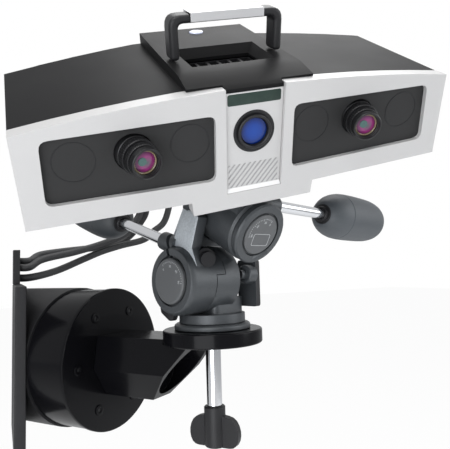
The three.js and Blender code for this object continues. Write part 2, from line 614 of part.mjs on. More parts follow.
// One handle in a frame whose Y runs along the rod
function buildHandle(frame, prefix) {
  const rod = round(handle.rodRadius, handle.rodFrom, handle.rodTo, smallSides, 'y');
  const collarFrom = handle.rodTo - handle.collarLength;
  piece(frame, `${prefix}_rod`, rod, materials.chrome);
  const bore = handle.rodRadius + gap;
  const end = grip.from + grip.length;
  const skin = grip.skinShares.map(([along, size]) => [grip.belly * size, grip.from + grip.length * along]);
  const shape = turned([
    [bore, collarFrom], [handle.collarRadius, collarFrom], [handle.collarRadius, grip.from], ...skin, [0, end],
    [0, handle.rodTo + gap], [bore, handle.rodTo + gap], [bore, collarFrom],
  ], plainSides, 'y');
  piece(frame, `${prefix}_grip`, shape, materials.rubber);
}

function buildHandles() {
  const front = [frontHandle.side, frontHandle.back, frontHandle.up];
  buildHandle(subgroup(frontFrame, front, [-frontHandle.dip, 0, 0]), 'front_handle');
  const tilt = subgroup(sideFrame, [sideHandle.side, sideHandle.ahead, sideHandle.up], [0, sideHandle.dip, 0]);
  buildHandle(subgroup(tilt, [0, 0, 0], [0, 0, -90]), 'side_handle');
}

// Scanner outlines

function archPoints(half, top, crown, count = 12) {
  const points = [];
  for (let i = 0; i <= count; i += 1) {
    const x = half - (2 * half * i) / count;
    points.push([x, top + crown * (1 - (x / half) ** 2)]);
  }
  return points;
}

function fasciaOutline(grow = 0) {
  const foot = fascia.foot - grow;
  return [
    ...archPoints(fascia.halfTop + grow, fascia.top + grow, fascia.crown),
    [-fascia.halfFoot - grow, foot], [-fascia.stepHalf - grow, fascia.stepTop - grow],
    [-fascia.stepFootHalf - grow, fascia.stepFoot - grow], [fascia.stepFootHalf + grow, fascia.stepFoot - grow],
    [fascia.stepHalf + grow, fascia.stepTop - grow], [fascia.halfFoot + grow, foot],
  ];
}

function windowOutline(side, grow = 0) {
  const corners = [
    [windowFrame.innerTop - grow, windowFrame.top + grow], [windowFrame.innerFoot - grow, windowFoot.inner - grow],
    [windowFrame.outerFoot + grow, windowFoot.outer - grow], [windowFrame.outerTop + grow, windowFrame.top + grow],
  ];
  const outline = rounded(corners, windowFoot.round);
  return outline.map(([x, z]) => [side * x, z]);
}

function centreOutline(grow = 0, top = centre.top) {
  const half = centre.half + grow;
  return [[-half, centre.foot - grow], [half, centre.foot - grow], [half, top], [-half, top]];
}

function planOutline(inset = 0, front = cover.front) {
  const side = cover.halfBack - inset;
  return [
    [-side, front], [side, front], [side, cover.sideBack - inset], [cover.centreHalf, cover.centreBack - inset],
    [-cover.centreHalf, cover.centreBack - inset], [-side, cover.sideBack - inset],
  ];
}

// The bowed back from one side to the other, moved by the offset
function rearLine(half, offset) {
  const slope = (cover.centreBack - cover.sideBack) / (cover.halfBack - cover.centreHalf);
  const sideBack = cover.sideBack - slope * (half - cover.halfBack) + offset;
  const back = cover.centreBack + offset;
  return [[-half, sideBack], [-cover.centreHalf, back], [cover.centreHalf, back], [half, sideBack]];
}

function coverSolid(inset, front, lift = 0) {
  const section = (y, half, top, crown) => [
    ...archPoints(half - inset, top - inset + lift, crown), [-half + inset, cover.foot], [half - inset, cover.foot],
  ].map(([x, z]) => [x, y, z]);
  const grow = (cover.topBack - fascia.top) / (cover.sideBack - cover.front);
  const heightAt = (y) => fascia.top + grow * (y - cover.front) - gap;
  const fall = (fascia.crown - cover.crownBack) / (cover.centreBack - cover.front);
  const crownAt = (y) => fascia.crown - fall * (y - cover.front);
  const back = cover.centreBack + overrun;
  return lofted([
    section(front, fascia.halfTop, heightAt(front), crownAt(front)),
    section(back, cover.halfBack, heightAt(back), crownAt(back)),
  ]);
}

// Silver front moulding with its two windows, and what shows in them
function buildFront() {
  const outer = frontal(fasciaOutline(), 0, fascia.depth);
  const pocket = frontal(fasciaOutline(-fascia.rim), fascia.wall, fascia.depth + overrun);
  const windows = [-1, 1].map((side) => frontal(windowOutline(side), -overrun, fascia.depth));
  const middle = frontal(centreOutline(0, block.creaseTop), -overrun, fascia.depth + overrun);
  piece(scanner, 'front_fascia', cut(outer, pocket, ...windows, middle), materials.silver);

  const panelFront = fascia.wall + gap;
  const panelBack = panelFront + windowFoot.panelThick;
  for (const side of [-1, 1]) {
    const sheet = frontal(windowOutline(side, windowFoot.flange), panelFront, panelBack);
    const spot = [side * (lens.spread + panelFront * Math.tan(radians(lens.toeIn))), 0, 0];
    const hole = round(lens.holeRadius, -overrun, fascia.depth, plainSides, 'y', spot);
    piece(scanner, side < 0 ? 'window_panel_left' : 'window_panel_right', cut(sheet, hole), materials.panel);
  }

  const behind = fascia.wall + gap;
  const face = frontal(centreOutline(-gap), centre.face, behind);
  const flange = frontal(centreOutline(centre.flange), behind, behind + centre.thick);
  const way = round(projector.holeRadius, -overrun, fascia.depth, fineSides, 'y', [0, 0, projector.height]);
  const slot = box(-display.half, display.half, -overrun, fascia.depth, display.low, display.high);
  piece(scanner, 'centre_panel', cut(join(face, flange), way, slot), materials.silver);

  const screen = box(
    -display.half + gap, display.half - gap, display.face, display.face + display.thick,
    display.low + gap, display.high - gap,
  );
  piece(scanner, 'display_window', screen, materials.display);
}

// Projector: bezel ring, blue glass, and the light engine behind them
function buildProjector() {
  const at = [0, 0, projector.height];
  const bezelBack = engine.front - gap;
  const ring = turned([
    [projector.bezel, projector.tip], [projector.ringRadius - projector.edge, projector.tip],
    [projector.ringRadius, projector.tip + projector.edge], [projector.ringRadius, bezelBack],
    [projector.bezel, bezelBack],
    [projector.bezel, projector.tip],
  ], fineSides, 'y', at);
  piece(scanner, 'projector_ring', ring, materials.shell);

  const glassFrom = projector.tip + engine.glassAt;
  const glass = round(projector.glassRadius, glassFrom, glassFrom + engine.glassThick, plainSides, 'y', at);
  piece(scanner, 'projector_glass', glass, materials.blueGlass);

  const body = box(-engine.half, engine.half, engine.front, engine.back, bench.top + gap, engine.high);
  piece(scanner, 'projector_engine', body, materials.black);
}

// One camera with its lens, focus ring and iris ring, toed in towards the middle
function buildCamera(side) {
  const frame = subgroup(scanner, [side * lens.spread, 0, 0], [0, 0, -side * lens.toeIn]);
  const label = side < 0 ? 'left' : 'right';
  const along = lensAlong;
  const bowlBack = along.tip + along.bowlDepth;
  const barrelShape = turned([
    [0, along.back], [lens.flangeRadius, along.back], [lens.flangeRadius, along.flange],
    [lens.tubeRadius, along.flange], [lens.tubeRadius, along.irisEnd], [lens.hoodRadius, along.irisEnd],
    [lens.hoodRadius, along.tip], [rings.bowlRadius, along.tip], [rings.glassRadius, bowlBack],
    [rings.glassRadius, bowlBack + rings.glassThick], [0, bowlBack + rings.glassThick],
  ], plainSides, 'y');
  piece(frame, `lens_barrel_${label}`, barrelShape, materials.black);

  const focus = turned([
    [rings.bore, along.focusEnd + gap], [rings.focusRadius, along.focusEnd + gap],
    [rings.focusRadius, along.flange - gap], [rings.bore, along.flange - gap], [rings.bore, along.focusEnd + gap],
  ], plainSides, 'y');
  piece(frame, `focus_ring_${label}`, focus, materials.black);

  const iris = turned([
    [rings.bore, along.irisEnd + gap], [rings.irisRadius, along.irisEnd + gap],
    [rings.irisRadius, along.focusEnd], [rings.bore, along.focusEnd], [rings.bore, along.irisEnd + gap],
  ], plainSides, 'y');
  piece(frame, `iris_ring_${label}`, iris, materials.black);

  const glass = turned([
    [0, bowlBack - rings.glassRise], [rings.glassRadius * rings.glassShoulderShare, bowlBack - rings.glassDrop],
    [rings.glassRadius - gap, bowlBack + gap],
    [rings.glassRadius - gap, bowlBack + rings.glassThick - gap], [0, bowlBack + rings.glassThick - gap],
  ], smallSides, 'y');
  piece(frame, `lens_glass_${label}`, glass, materials.glass);

  const half = camera.half;
  const body = box(-half, half, along.back + gap, along.back + gap + camera.length, -half, half);
  piece(frame, `camera_body_${label}`, body, materials.shell);
}

// Dark shells round the back: top cover, rear cover and tray
function buildShells() {
  const blank = coverSolid(0, cover.front);
  const plan = slab(planOutline(), cover.foot - overrun, block.backTop);
  const hollow = coverSolid(cover.wall, cover.front - overrun);
  const hollowFoot = cover.foot - overrun * 2;
  const hollowPlan = slab(planOutline(cover.wall, cover.front - overrun * 2), hollowFoot, block.backTop);
  const under = box(
    -cover.halfBack + cover.wall, cover.halfBack - cover.wall, cover.front - overrun, cover.sideBack - cover.wall,
    cover.foot - overrun, cover.foot + overrun,
  );
  const vent = box(
    -recess.floorHalf - grille.rim, recess.floorHalf + grille.rim, recess.floorFront - grille.rim,
    recess.floorBack + grille.rim, 0, block.backTop,
  );
  const well = round(button.radius + gap * 2, button.well, block.backTop, smallSides, 'z', [0, button.at, 0]);
  const beyond = cover.halfBack + overrun;
  const rearBand = slab([
    ...rearLine(beyond, -rear.thick * 2), [beyond, cover.centreBack + overrun], [-beyond, cover.centreBack + overrun],
  ], cover.foot - overrun, rear.top + gap);
  const shellBody = cut(blank.intersect(plan), hollow.intersect(hollowPlan), under, vent, well, rearBand);
  piece(scanner, 'top_cover', shellBody, materials.shell);

  const width = cover.halfBack - rear.inset;
  const inner = rearLine(width, -rear.thick * 2 + gap * 2);
  const outer = rearLine(width, -rear.thick + gap * 2);
  const backWall = slab([...inner, ...outer.reverse()], tray.top + gap, rear.top);
  piece(scanner, 'rear_cover', backWall, materials.shell);

  const floor = slab(planOutline(rear.inset), tray.top - tray.thick, tray.top);
  const rails = [-1, 1].map((side) => box(
    side * tray.railAt - tray.railHalf, side * tray.railAt + tray.railHalf, board.front, board.back,
    tray.top - tray.thick / 2, tray.railTop,
  ));
  piece(scanner, 'bottom_tray', join(floor, ...rails), materials.shell);
}

// Raised block on the cover, with the vent recess, the grille, the fan and the power button
function buildTop() {
  const rise = (block.backTop - block.creaseTop) / (block.back - block.crease);
  const topAt = (y) => block.creaseTop + rise * (y - block.crease);
  const blank = sideways([
    [block.front, block.lip], [block.crease, block.creaseTop], [block.back, block.backTop],
    [block.back, block.foot], [block.front, block.foot],
  ], -block.half, block.half);
  const seatCut = coverSolid(0, cover.front, gap);
  const frontCut = frontal(fasciaOutline(gap), -overrun, fascia.depth + gap);
  const rim = (half, front, back, z) => [[-half, front, z], [half, front, z], [half, back, z], [-half, back, z]];
  const funnel = new THREE.BufferGeometry();
  const high = topAt(recess.back) + bite;
  const corners = [
    ...rim(recess.floorHalf, recess.floorFront, recess.floorBack, recess.floor - overrun / 2),
    ...rim(recess.floorHalf, recess.floorFront, recess.floorBack, recess.floor),
    ...rim(recess.half, recess.front, recess.back, high),
  ];
  const faces = [2, 1, 0, 3, 2, 0, 8, 9, 10, 8, 10, 11];
  for (const layer of [0, 4]) {
    for (let i = 0; i < 4; i += 1) {
      const j = (i + 1) % 4;
      faces.push(layer + i, layer + j, layer + 4 + j, layer + i, layer + 4 + j, layer + 4 + i);
    }
  }
  funnel.setAttribute('position', new THREE.Float32BufferAttribute(corners.flat(), 3));
  funnel.setIndex(faces);
  const wellTop = block.backTop + overrun;
  const well = round(button.radius + gap * 2, button.well, wellTop, smallSides, 'z', [0, button.at, 0]);
  const tongue = sideways([
    [apron.front, apron.foot], [fascia.depth, apron.foot], [fascia.depth, block.lip], [block.front, block.lip],
    [apron.front, apron.lip],
  ], -centre.half + gap, centre.half - gap);
  const raised = join(cut(blank, seatCut, frontCut, solid(funnel), well), tongue);
  piece(scanner, 'raised_block', raised, materials.shell);

  const outerHalf = recess.floorHalf + grille.rim - gap;
  const front = recess.floorFront - grille.rim + gap;
  const back = recess.floorBack + grille.rim - gap;
  const gratingTop = recess.floor - overrun / 2 - gap;
  let grating = box(-outerHalf, outerHalf, front, back, gratingTop - grille.thick, gratingTop);
  const cell = (2 * recess.floorHalf - grille.bars * grille.barWide) / (grille.bars + 1);
  for (let i = 0; i <= grille.bars; i += 1) {
    const left = -recess.floorHalf + i * (cell + grille.barWide);
    grating = cut(grating, box(
      left, left + cell, recess.floorFront, recess.floorBack, gratingTop - grille.thick - bite, gratingTop + bite,
    ));
  }
  piece(scanner, 'vent_grille', grating, materials.black);

  const press = bevelled(button.radius, button.foot, button.top, button.edge, smallSides, 'z', [0, button.at, 0]);
  piece(scanner, 'power_button', press, materials.light);

  const fanTop = gratingTop - grille.thick - gap;
  const fanFoot = fanTop - fan.high;
  const caseBlock = box(-fan.half, fan.half, fan.at - fan.half, fan.at + fan.half, fanFoot, fanTop);
  const duct = round(fan.boreRadius, fanFoot + fanWeb.thick, fanTop + bite, plainSides, 'z', [0, fan.at, 0]);
  const inletTop = fanFoot + fanWeb.thick + bite;
  const inlet = round(fan.boreRadius - fanWeb.lip, fanFoot - bite, inletTop, plainSides, 'z', [0, fan.at, 0]);
  const reach = fan.boreRadius + bite;
  const bars = [0, 90].map((angle) => box(
    -reach, reach, -fanWeb.wide / 2, fanWeb.wide / 2, fanFoot, fanFoot + fanWeb.thick, [0, fan.at, 0], [0, 0, angle],
  ));
  const post = round(fanWeb.pinRadius, fanFoot, fanTop - fanWeb.pinDrop, smallSides, 'z', [0, fan.at, 0]);
  piece(scanner, 'fan_housing', join(cut(caseBlock, duct, inlet), ...bars, post), materials.black);

  const rotorFoot = fanFoot + fanWeb.thick + gap * 2;
  const rotorTop = fanTop - fanWeb.lip;
  const hub = round(fan.hub, rotorFoot, rotorTop, smallSides);
  let rotor = hub;
  for (let i = 0; i < fan.blades; i += 1) {
    const bladeHigh = (rotorTop - rotorFoot) * fan.bladeShare;
    const blade = new THREE.BoxGeometry(fan.tip - fan.hub + bite, fan.bladeThick, bladeHigh);
    blade.rotateX(radians(fan.pitch));
    blade.translate((fan.tip + fan.hub - bite) / 2, 0, (rotorTop + rotorFoot) / 2);
    blade.rotateZ((2 * Math.PI * i) / fan.blades);
    rotor = join(rotor, solid(blade));
  }
  const within = round(fan.tip, rotorFoot, rotorTop, plainSides);
  const pinWay = round(fanWeb.pinRadius + fanWeb.pinFit, rotorFoot - bite, rotorTop - fanWeb.pinCover, smallSides);
  piece(subgroup(scanner, [0, fan.at, 0]), 'fan_rotor', cut(rotor.intersect(within), pinWay), materials.texture);
}

// Carrying handle: a bent bar with a silver sleeve
function buildCarryHandle() {
  const outerLine = [
    [-carry.outer, carry.foot], [-carry.outer, carry.top], [carry.outer, carry.top], [carry.outer, carry.foot],
    [carry.inner, carry.foot], [carry.inner, carry.underside], [-carry.inner, carry.underside],
    [-carry.inner, carry.foot],
  ];
  const smooth = [];
  const roundAt = { 1: carry.bend, 2: carry.bend, 5: carry.innerBend, 6: carry.innerBend };
  outerLine.forEach((point, i) => {
    if (!roundAt[i]) {
      smooth.push(point);
      return;
    }
    const three = [outerLine[i - 1], point, outerLine[(i + 1) % outerLine.length]];
    smooth.push(...rounded(three, roundAt[i], 5).slice(6, 12));
  });
  piece(scanner, 'carry_handle', frontal(smooth, carry.front, carry.back), materials.black);

  const barSpace = box(
    -sleeve.half - overrun, sleeve.half + overrun, carry.front - gap, carry.back + gap,
    sleeve.low - overrun, carry.top + gap,
  );
  const cap = box(-sleeve.half, sleeve.half, sleeve.front, sleeve.back, sleeve.low, sleeve.top);
  piece(scanner, 'handle_sleeve', cut(cap, barSpace), materials.silver);
}

// Bench that carries cameras and engine, and the circuit board on its rails
function buildInside() {
  const channel = box(-bench.half, bench.half, bench.front, bench.back, bench.foot, bench.top);
  const below = box(
    -bench.half - overrun, bench.half + overrun, bench.front + bench.leg, bench.back - bench.leg,
    bench.foot - overrun, bench.top - bench.thick,
  );
  piece(scanner, 'optical_bench', cut(channel, below), materials.steel);

  const low = tray.railTop + gap;
  const sheet = box(-board.half, board.half, board.front, board.back, low, low + board.thick);
  piece(scanner, 'main_board', sheet, materials.board);
}

// Cable glands on the rear cover
function glandSeat() {
  return cover.centreBack - rear.thick + gap * 3;
}

function buildGlands() {
  const outside = glandSeat();
  gland.at.forEach((across, i) => {
    const spot = [across, outside, gland.height];
    const shape = turned([
      [0, 0], [gland.nutRadius, 0], [gland.nutRadius, gland.nut], [gland.rootRadius, gland.nut],
      [gland.tipRadius, gland.length], [0, gland.length],
    ], smallSides, 'y', spot);
    piece(scanner, `cable_gland_${i + 1}`, shape, materials.black);
  });
}

// The clamp on the pad, and the cables from the glands into its sockets
function buildCables() {
  const outer = -column.standOff;
  const inner = outer + clamp.deep;
  const foot = pad.top - plate.rise + gap;
  const bottom = inner - clamp.socketDeep;
  const edge = padEdge - clamp.inset;
  let body = box(outer, inner, edge - clamp.wide, edge, foot, foot + clamp.high);
  const socketAt = (route) => [edge - route.socketIn, foot + route.socketRise];
  for (const route of routes) {
    const spot = [0, ...socketAt(route)];
    body = cut(body, round(clamp.socketRadius, bottom, inner + overrun, smallSides, 'x', spot));
  }
  piece(stand, 'cable_clamp', body, materials.black);

  scanner.updateWorldMatrix(true, false);
  stand.updateWorldMatrix(true, false);
  const toStand = (y, across) => {
    const spot = new THREE.Vector3(across, y, gland.height);
    return stand.worldToLocal(spot.applyMatrix4(scanner.matrixWorld));
  };
  const tip = glandSeat() + gland.length + gap;
  const section = new THREE.Shape(ringPoints(cable.radius, cable.sides));
  routes.forEach((route, i) => {
    const end = new THREE.Vector3(bottom + gap, ...socketAt(route));
    const path = new THREE.CatmullRomCurve3([
      toStand(tip, gland.at[i]), toStand(tip + cable.straight, gland.at[i]),
      ...route.points.map((point) => new THREE.Vector3(...point)),
      end.clone().add(new THREE.Vector3(cable.straight, 0, 0)), end,
    ], false, 'centripetal');
    const tube = new THREE.ExtrudeGeometry(section, {
      steps: cable.steps, bevelEnabled: false, extrudePath: path, curveSegments: 1,
    });
    piece(stand, route.name, solid(tube), materials.black);
    console.log(`${route.name} is ${path.getLength().toFixed(1)} mm long`);
  });
}

buildColumn();
buildDrum();
buildBasePlate();
buildPan();
buildFrontFrame();
buildSideHousing();
buildHandles();
buildFront();
buildProjector();
buildCamera(-1);
buildCamera(1);
buildShells();
buildTop();
buildCarryHandle();
buildInside();
buildGlands();
buildCables();

export default scannerUnit;
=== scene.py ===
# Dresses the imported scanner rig: materials, rounded edges, small hardware, cables, light and camera.
# Lengths in the dictionaries are millimetres and angles are degrees.

import math

import bmesh
import bpy
from mathutils import Matrix, Vector


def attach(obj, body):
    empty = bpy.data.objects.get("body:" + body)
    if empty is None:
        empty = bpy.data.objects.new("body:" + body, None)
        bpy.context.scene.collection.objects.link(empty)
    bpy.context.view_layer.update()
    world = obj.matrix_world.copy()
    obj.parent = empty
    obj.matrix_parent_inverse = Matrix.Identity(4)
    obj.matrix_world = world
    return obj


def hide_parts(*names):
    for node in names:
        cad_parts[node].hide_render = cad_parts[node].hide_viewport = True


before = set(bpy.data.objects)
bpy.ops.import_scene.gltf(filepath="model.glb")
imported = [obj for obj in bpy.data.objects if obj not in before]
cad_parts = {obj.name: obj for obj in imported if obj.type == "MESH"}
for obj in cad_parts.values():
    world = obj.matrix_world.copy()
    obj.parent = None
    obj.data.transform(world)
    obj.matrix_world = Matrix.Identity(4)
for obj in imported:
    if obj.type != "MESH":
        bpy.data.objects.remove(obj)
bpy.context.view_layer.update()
mm = 0.001
print("stage: frame loaded,", len(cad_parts), "nodes")

# Places of the rig's parts, in the same numbers as the CAD source
place = {
    "baseTop": (169.72, -157.03, 35.4),  # centre of the base plate's top
    "drumDrop": 35.4,
    "drumYaw": 37.06,
    "headYaw": 19.6,
    "tiltAxisUp": 45.7,
    "frontTilt": 29.9,
    "sideAxisUp": 65.2,
    "sideTilt": -25.0,
    "scannerYaw": -17.5,
    "seat": (0, -46, 97.6),
    "lensSpread": 88.4,
    "lensToeIn": 12.3,
}


def move(x, y, z):
    return Matrix.Translation(Vector((x, y, z)))


def turn(degrees, axis):
    return Matrix.Rotation(math.radians(degrees), 4, axis)


standFrame = move(*place["baseTop"])
drumFrame = standFrame @ move(0, 0, -place["drumDrop"]) @ turn(place["drumYaw"], "Z")
panFrame = standFrame @ turn(place["headYaw"], "Z")
frontFrame = panFrame @ move(0, 0, place["tiltAxisUp"]) @ turn(place["frontTilt"], "X")
sideFrame = frontFrame @ move(0, 0, place["sideAxisUp"]) @ turn(place["sideTilt"], "Y")
scannerFrame = sideFrame @ turn(place["scannerYaw"], "Z") @ move(*place["seat"])


def lensFrame(side):
    return scannerFrame @ move(side * place["lensSpread"], 0, 0) @ turn(-side * place["lensToeIn"], "Z")


# Shader groups that several materials share
grain = {
    "fineDetail": 3.0, "patchDetail": 2.0, "fineShare": 0.6, "patchShare": 0.4, "patch": 18.0,
    "roughness": 0.55, "bumpReach": 0.4,
}
streak = {"stretch": (30.0, 4.0, 30.0), "scale": 12.0, "detail": 6.0, "depth": 0.02}


def newGroup(name, inputs, outputs):
    group = bpy.data.node_groups.new(name, "ShaderNodeTree")
    for label, kind, value in inputs:
        socket = group.interface.new_socket(label, in_out="INPUT", socket_type=kind)
        socket.default_value = value
    for label, kind in outputs:
        group.interface.new_socket(label, in_out="OUTPUT", socket_type=kind)
    return group, group.nodes.new("NodeGroupInput"), group.nodes.new("NodeGroupOutput")


# A noise on the piece's own coordinates, or on others that are given
def noiseAt(tree, detail=None, coordinates=None):
    noise = tree.nodes.new("ShaderNodeTexNoise")
    if detail is not None:
        noise.inputs["Detail"].default_value = detail
    if coordinates is None:
        coordinates = tree.nodes.new("ShaderNodeTexCoord").outputs["Object"]
    tree.links.new(coordinates, noise.inputs["Vector"])
    return noise


def mathAt(tree, operation, value, factor):
    node = tree.nodes.new("ShaderNodeMath")
    node.operation = operation
    node.inputs[1].default_value = factor
    tree.links.new(value, node.inputs[0])
    return node


def mapped(group, value, entry):
    node = group.nodes.new("ShaderNodeMapRange")
    group.links.new(value, node.inputs["Value"])
    group.links.new(entry.outputs["Rough Low"], node.inputs["To Min"])
    group.links.new(entry.outputs["Rough High"], node.inputs["To Max"])
    return node


# Fine grain of a moulding, a powder coat or a casting: colour, roughness and height vary with it
def buildGrainGroup():
    group, entry, result = newGroup(
        "fineGrain",
        [
            ("Dark", "NodeSocketColor", (0.1, 0.1, 0.1, 1)),
            ("Light", "NodeSocketColor", (0.2, 0.2, 0.2, 1)),
            ("Scale", "NodeSocketFloat", 900.0),
            ("Rough Low", "NodeSocketFloat", 0.4),
            ("Rough High", "NodeSocketFloat", 0.6),
            ("Patch Scale", "NodeSocketFloat", grain["patch"]),
        ],
        [("Color", "NodeSocketColor"), ("Roughness", "NodeSocketFloat"), ("Height", "NodeSocketFloat")],
    )
    fine, patch = noiseAt(group, grain["fineDetail"]), noiseAt(group, grain["patchDetail"])
    for noise, socket in ((fine, "Scale"), (patch, "Patch Scale")):
        noise.inputs["Roughness"].default_value = grain["roughness"]
        group.links.new(entry.outputs[socket], noise.inputs["Scale"])
    both = mathAt(group, "MULTIPLY_ADD", fine.outputs["Fac"], grain["fineShare"])
    share = mathAt(group, "MULTIPLY", patch.outputs["Fac"], grain["patchShare"])
    group.links.new(share.outputs[0], both.inputs[2])
    blend = group.nodes.new("ShaderNodeMix")
    blend.data_type = "RGBA"
    group.links.new(both.outputs[0], blend.inputs["Factor"])
    group.links.new(entry.outputs["Dark"], blend.inputs["A"])
    group.links.new(entry.outputs["Light"], blend.inputs["B"])
    rough = mapped(group, patch.outputs["Fac"], entry)
    group.links.new(blend.outputs["Result"], result.inputs["Color"])
    group.links.new(rough.outputs["Result"], result.inputs["Roughness"])
    group.links.new(fine.outputs["Fac"], result.inputs["Height"])
    return group


# Faint handling marks: long thin streaks in roughness and height, and none in colour
def buildStreakGroup():
    group, entry, result = newGroup(
        "handlingStreaks",
        [
            ("Stretch", "NodeSocketVector", streak["stretch"]),
            ("Rough Low", "NodeSocketFloat", 0.1),
            ("Rough High", "NodeSocketFloat", 0.3),
        ],
        [("Roughness", "NodeSocketFloat"), ("Height", "NodeSocketFloat")],
    )
    coordinates = group.nodes.new("ShaderNodeTexCoord")
    stretched = group.nodes.new("ShaderNodeVectorMath")
    stretched.operation = "MULTIPLY"
    group.links.new(coordinates.outputs["Object"], stretched.inputs[0])
    group.links.new(entry.outputs["Stretch"], stretched.inputs[1])
    noise = noiseAt(group, streak["detail"], stretched.outputs[0])
    noise.inputs["Scale"].default_value = streak["scale"]
    rough = mapped(group, noise.outputs["Fac"], entry)
    group.links.new(rough.outputs["Result"], result.inputs["Roughness"])
    group.links.new(noise.outputs["Fac"], result.inputs["Height"])
    return group


fineGrain = buildGrainGroup()
handlingStreaks = buildStreakGroup()


# Materials: a new one, with the plain values of its look set on the shader
def startMaterial(name, look):
    material = bpy.data.materials.new(name)
    material.use_nodes = True
    shader = material.node_tree.nodes["Principled BSDF"]
    names = {
        "metallic": "Metallic", "coat": "Coat Weight", "coatRough": "Coat Roughness",
        "specular": "Specular IOR Level", "flatRough": "Roughness",
    }
    for key, socket in names.items():
        if key in look:
            shader.inputs[socket].default_value = look[key]
    return material, material.node_tree, shader


# A material's own copy of a shared group, with its roughness and bump joined to the shader
def groupNode(tree, shader, shared, look, depth):
    node = tree.nodes.new("ShaderNodeGroup")
    node.node_tree = shared
    node.inputs["Rough Low"].default_value = look["rough"][0]
    node.inputs["Rough High"].default_value = look["rough"][1]
    bump = tree.nodes.new("ShaderNodeBump")
    bump.inputs["Strength"].default_value = depth
    bump.inputs["Distance"].default_value = grain["bumpReach"] * mm
    tree.links.new(node.outputs["Roughness"], shader.inputs["Roughness"])
    tree.links.new(node.outputs["Height"], bump.inputs["Height"])
    tree.links.new(bump.outputs["Normal"], shader.inputs["Normal"])
    return node


def grainMaterial(name, look):
    material, tree, shader = startMaterial(name, look)
    node = groupNode(tree, shader, fineGrain, look, look["depth"])
    node.inputs["Dark"].default_value = (*look["dark"], 1)
    node.inputs["Light"].default_value = (*look["light"], 1)
    node.inputs["Scale"].default_value = look["scale"]
    node.inputs["Patch Scale"].default_value = look.get("patch", grain["patch"])
    tree.links.new(node.outputs["Color"], shader.inputs["Base Color"])
    return material


def streakMaterial(name, look):
    material, tree, shader = startMaterial(name, look)
    node = groupNode(tree, shader, handlingStreaks, look, streak["depth"])
    node.inputs["Stretch"].default_value = look.get("stretch", streak["stretch"])
    shader.inputs["Base Color"].default_value = (*look["colour"], 1)
    return material


def rampBetween(tree, shader, value, first, last):
    ramp = tree.nodes.new("ShaderNodeValToRGB")
    ramp.color_ramp.elements[0].color = (*first, 1)
    ramp.color_ramp.elements[1].color = (*last, 1)
    tree.links.new(value, ramp.inputs["Fac"])
    tree.links.new(ramp.outputs["Color"], shader.inputs["Base Color"])
    return ramp


# A smooth surface whose colour wanders between two: paint marks, smoked glass and small clear pieces
def mottledMaterial(name, look):
    material, tree, shader = startMaterial(name, look)
    noise = noiseAt(tree)
    noise.inputs["Scale"].default_value = look["scale"]
    rampBetween(tree, shader, noise.outputs["Fac"], look["dark"], look["light"])
    return material


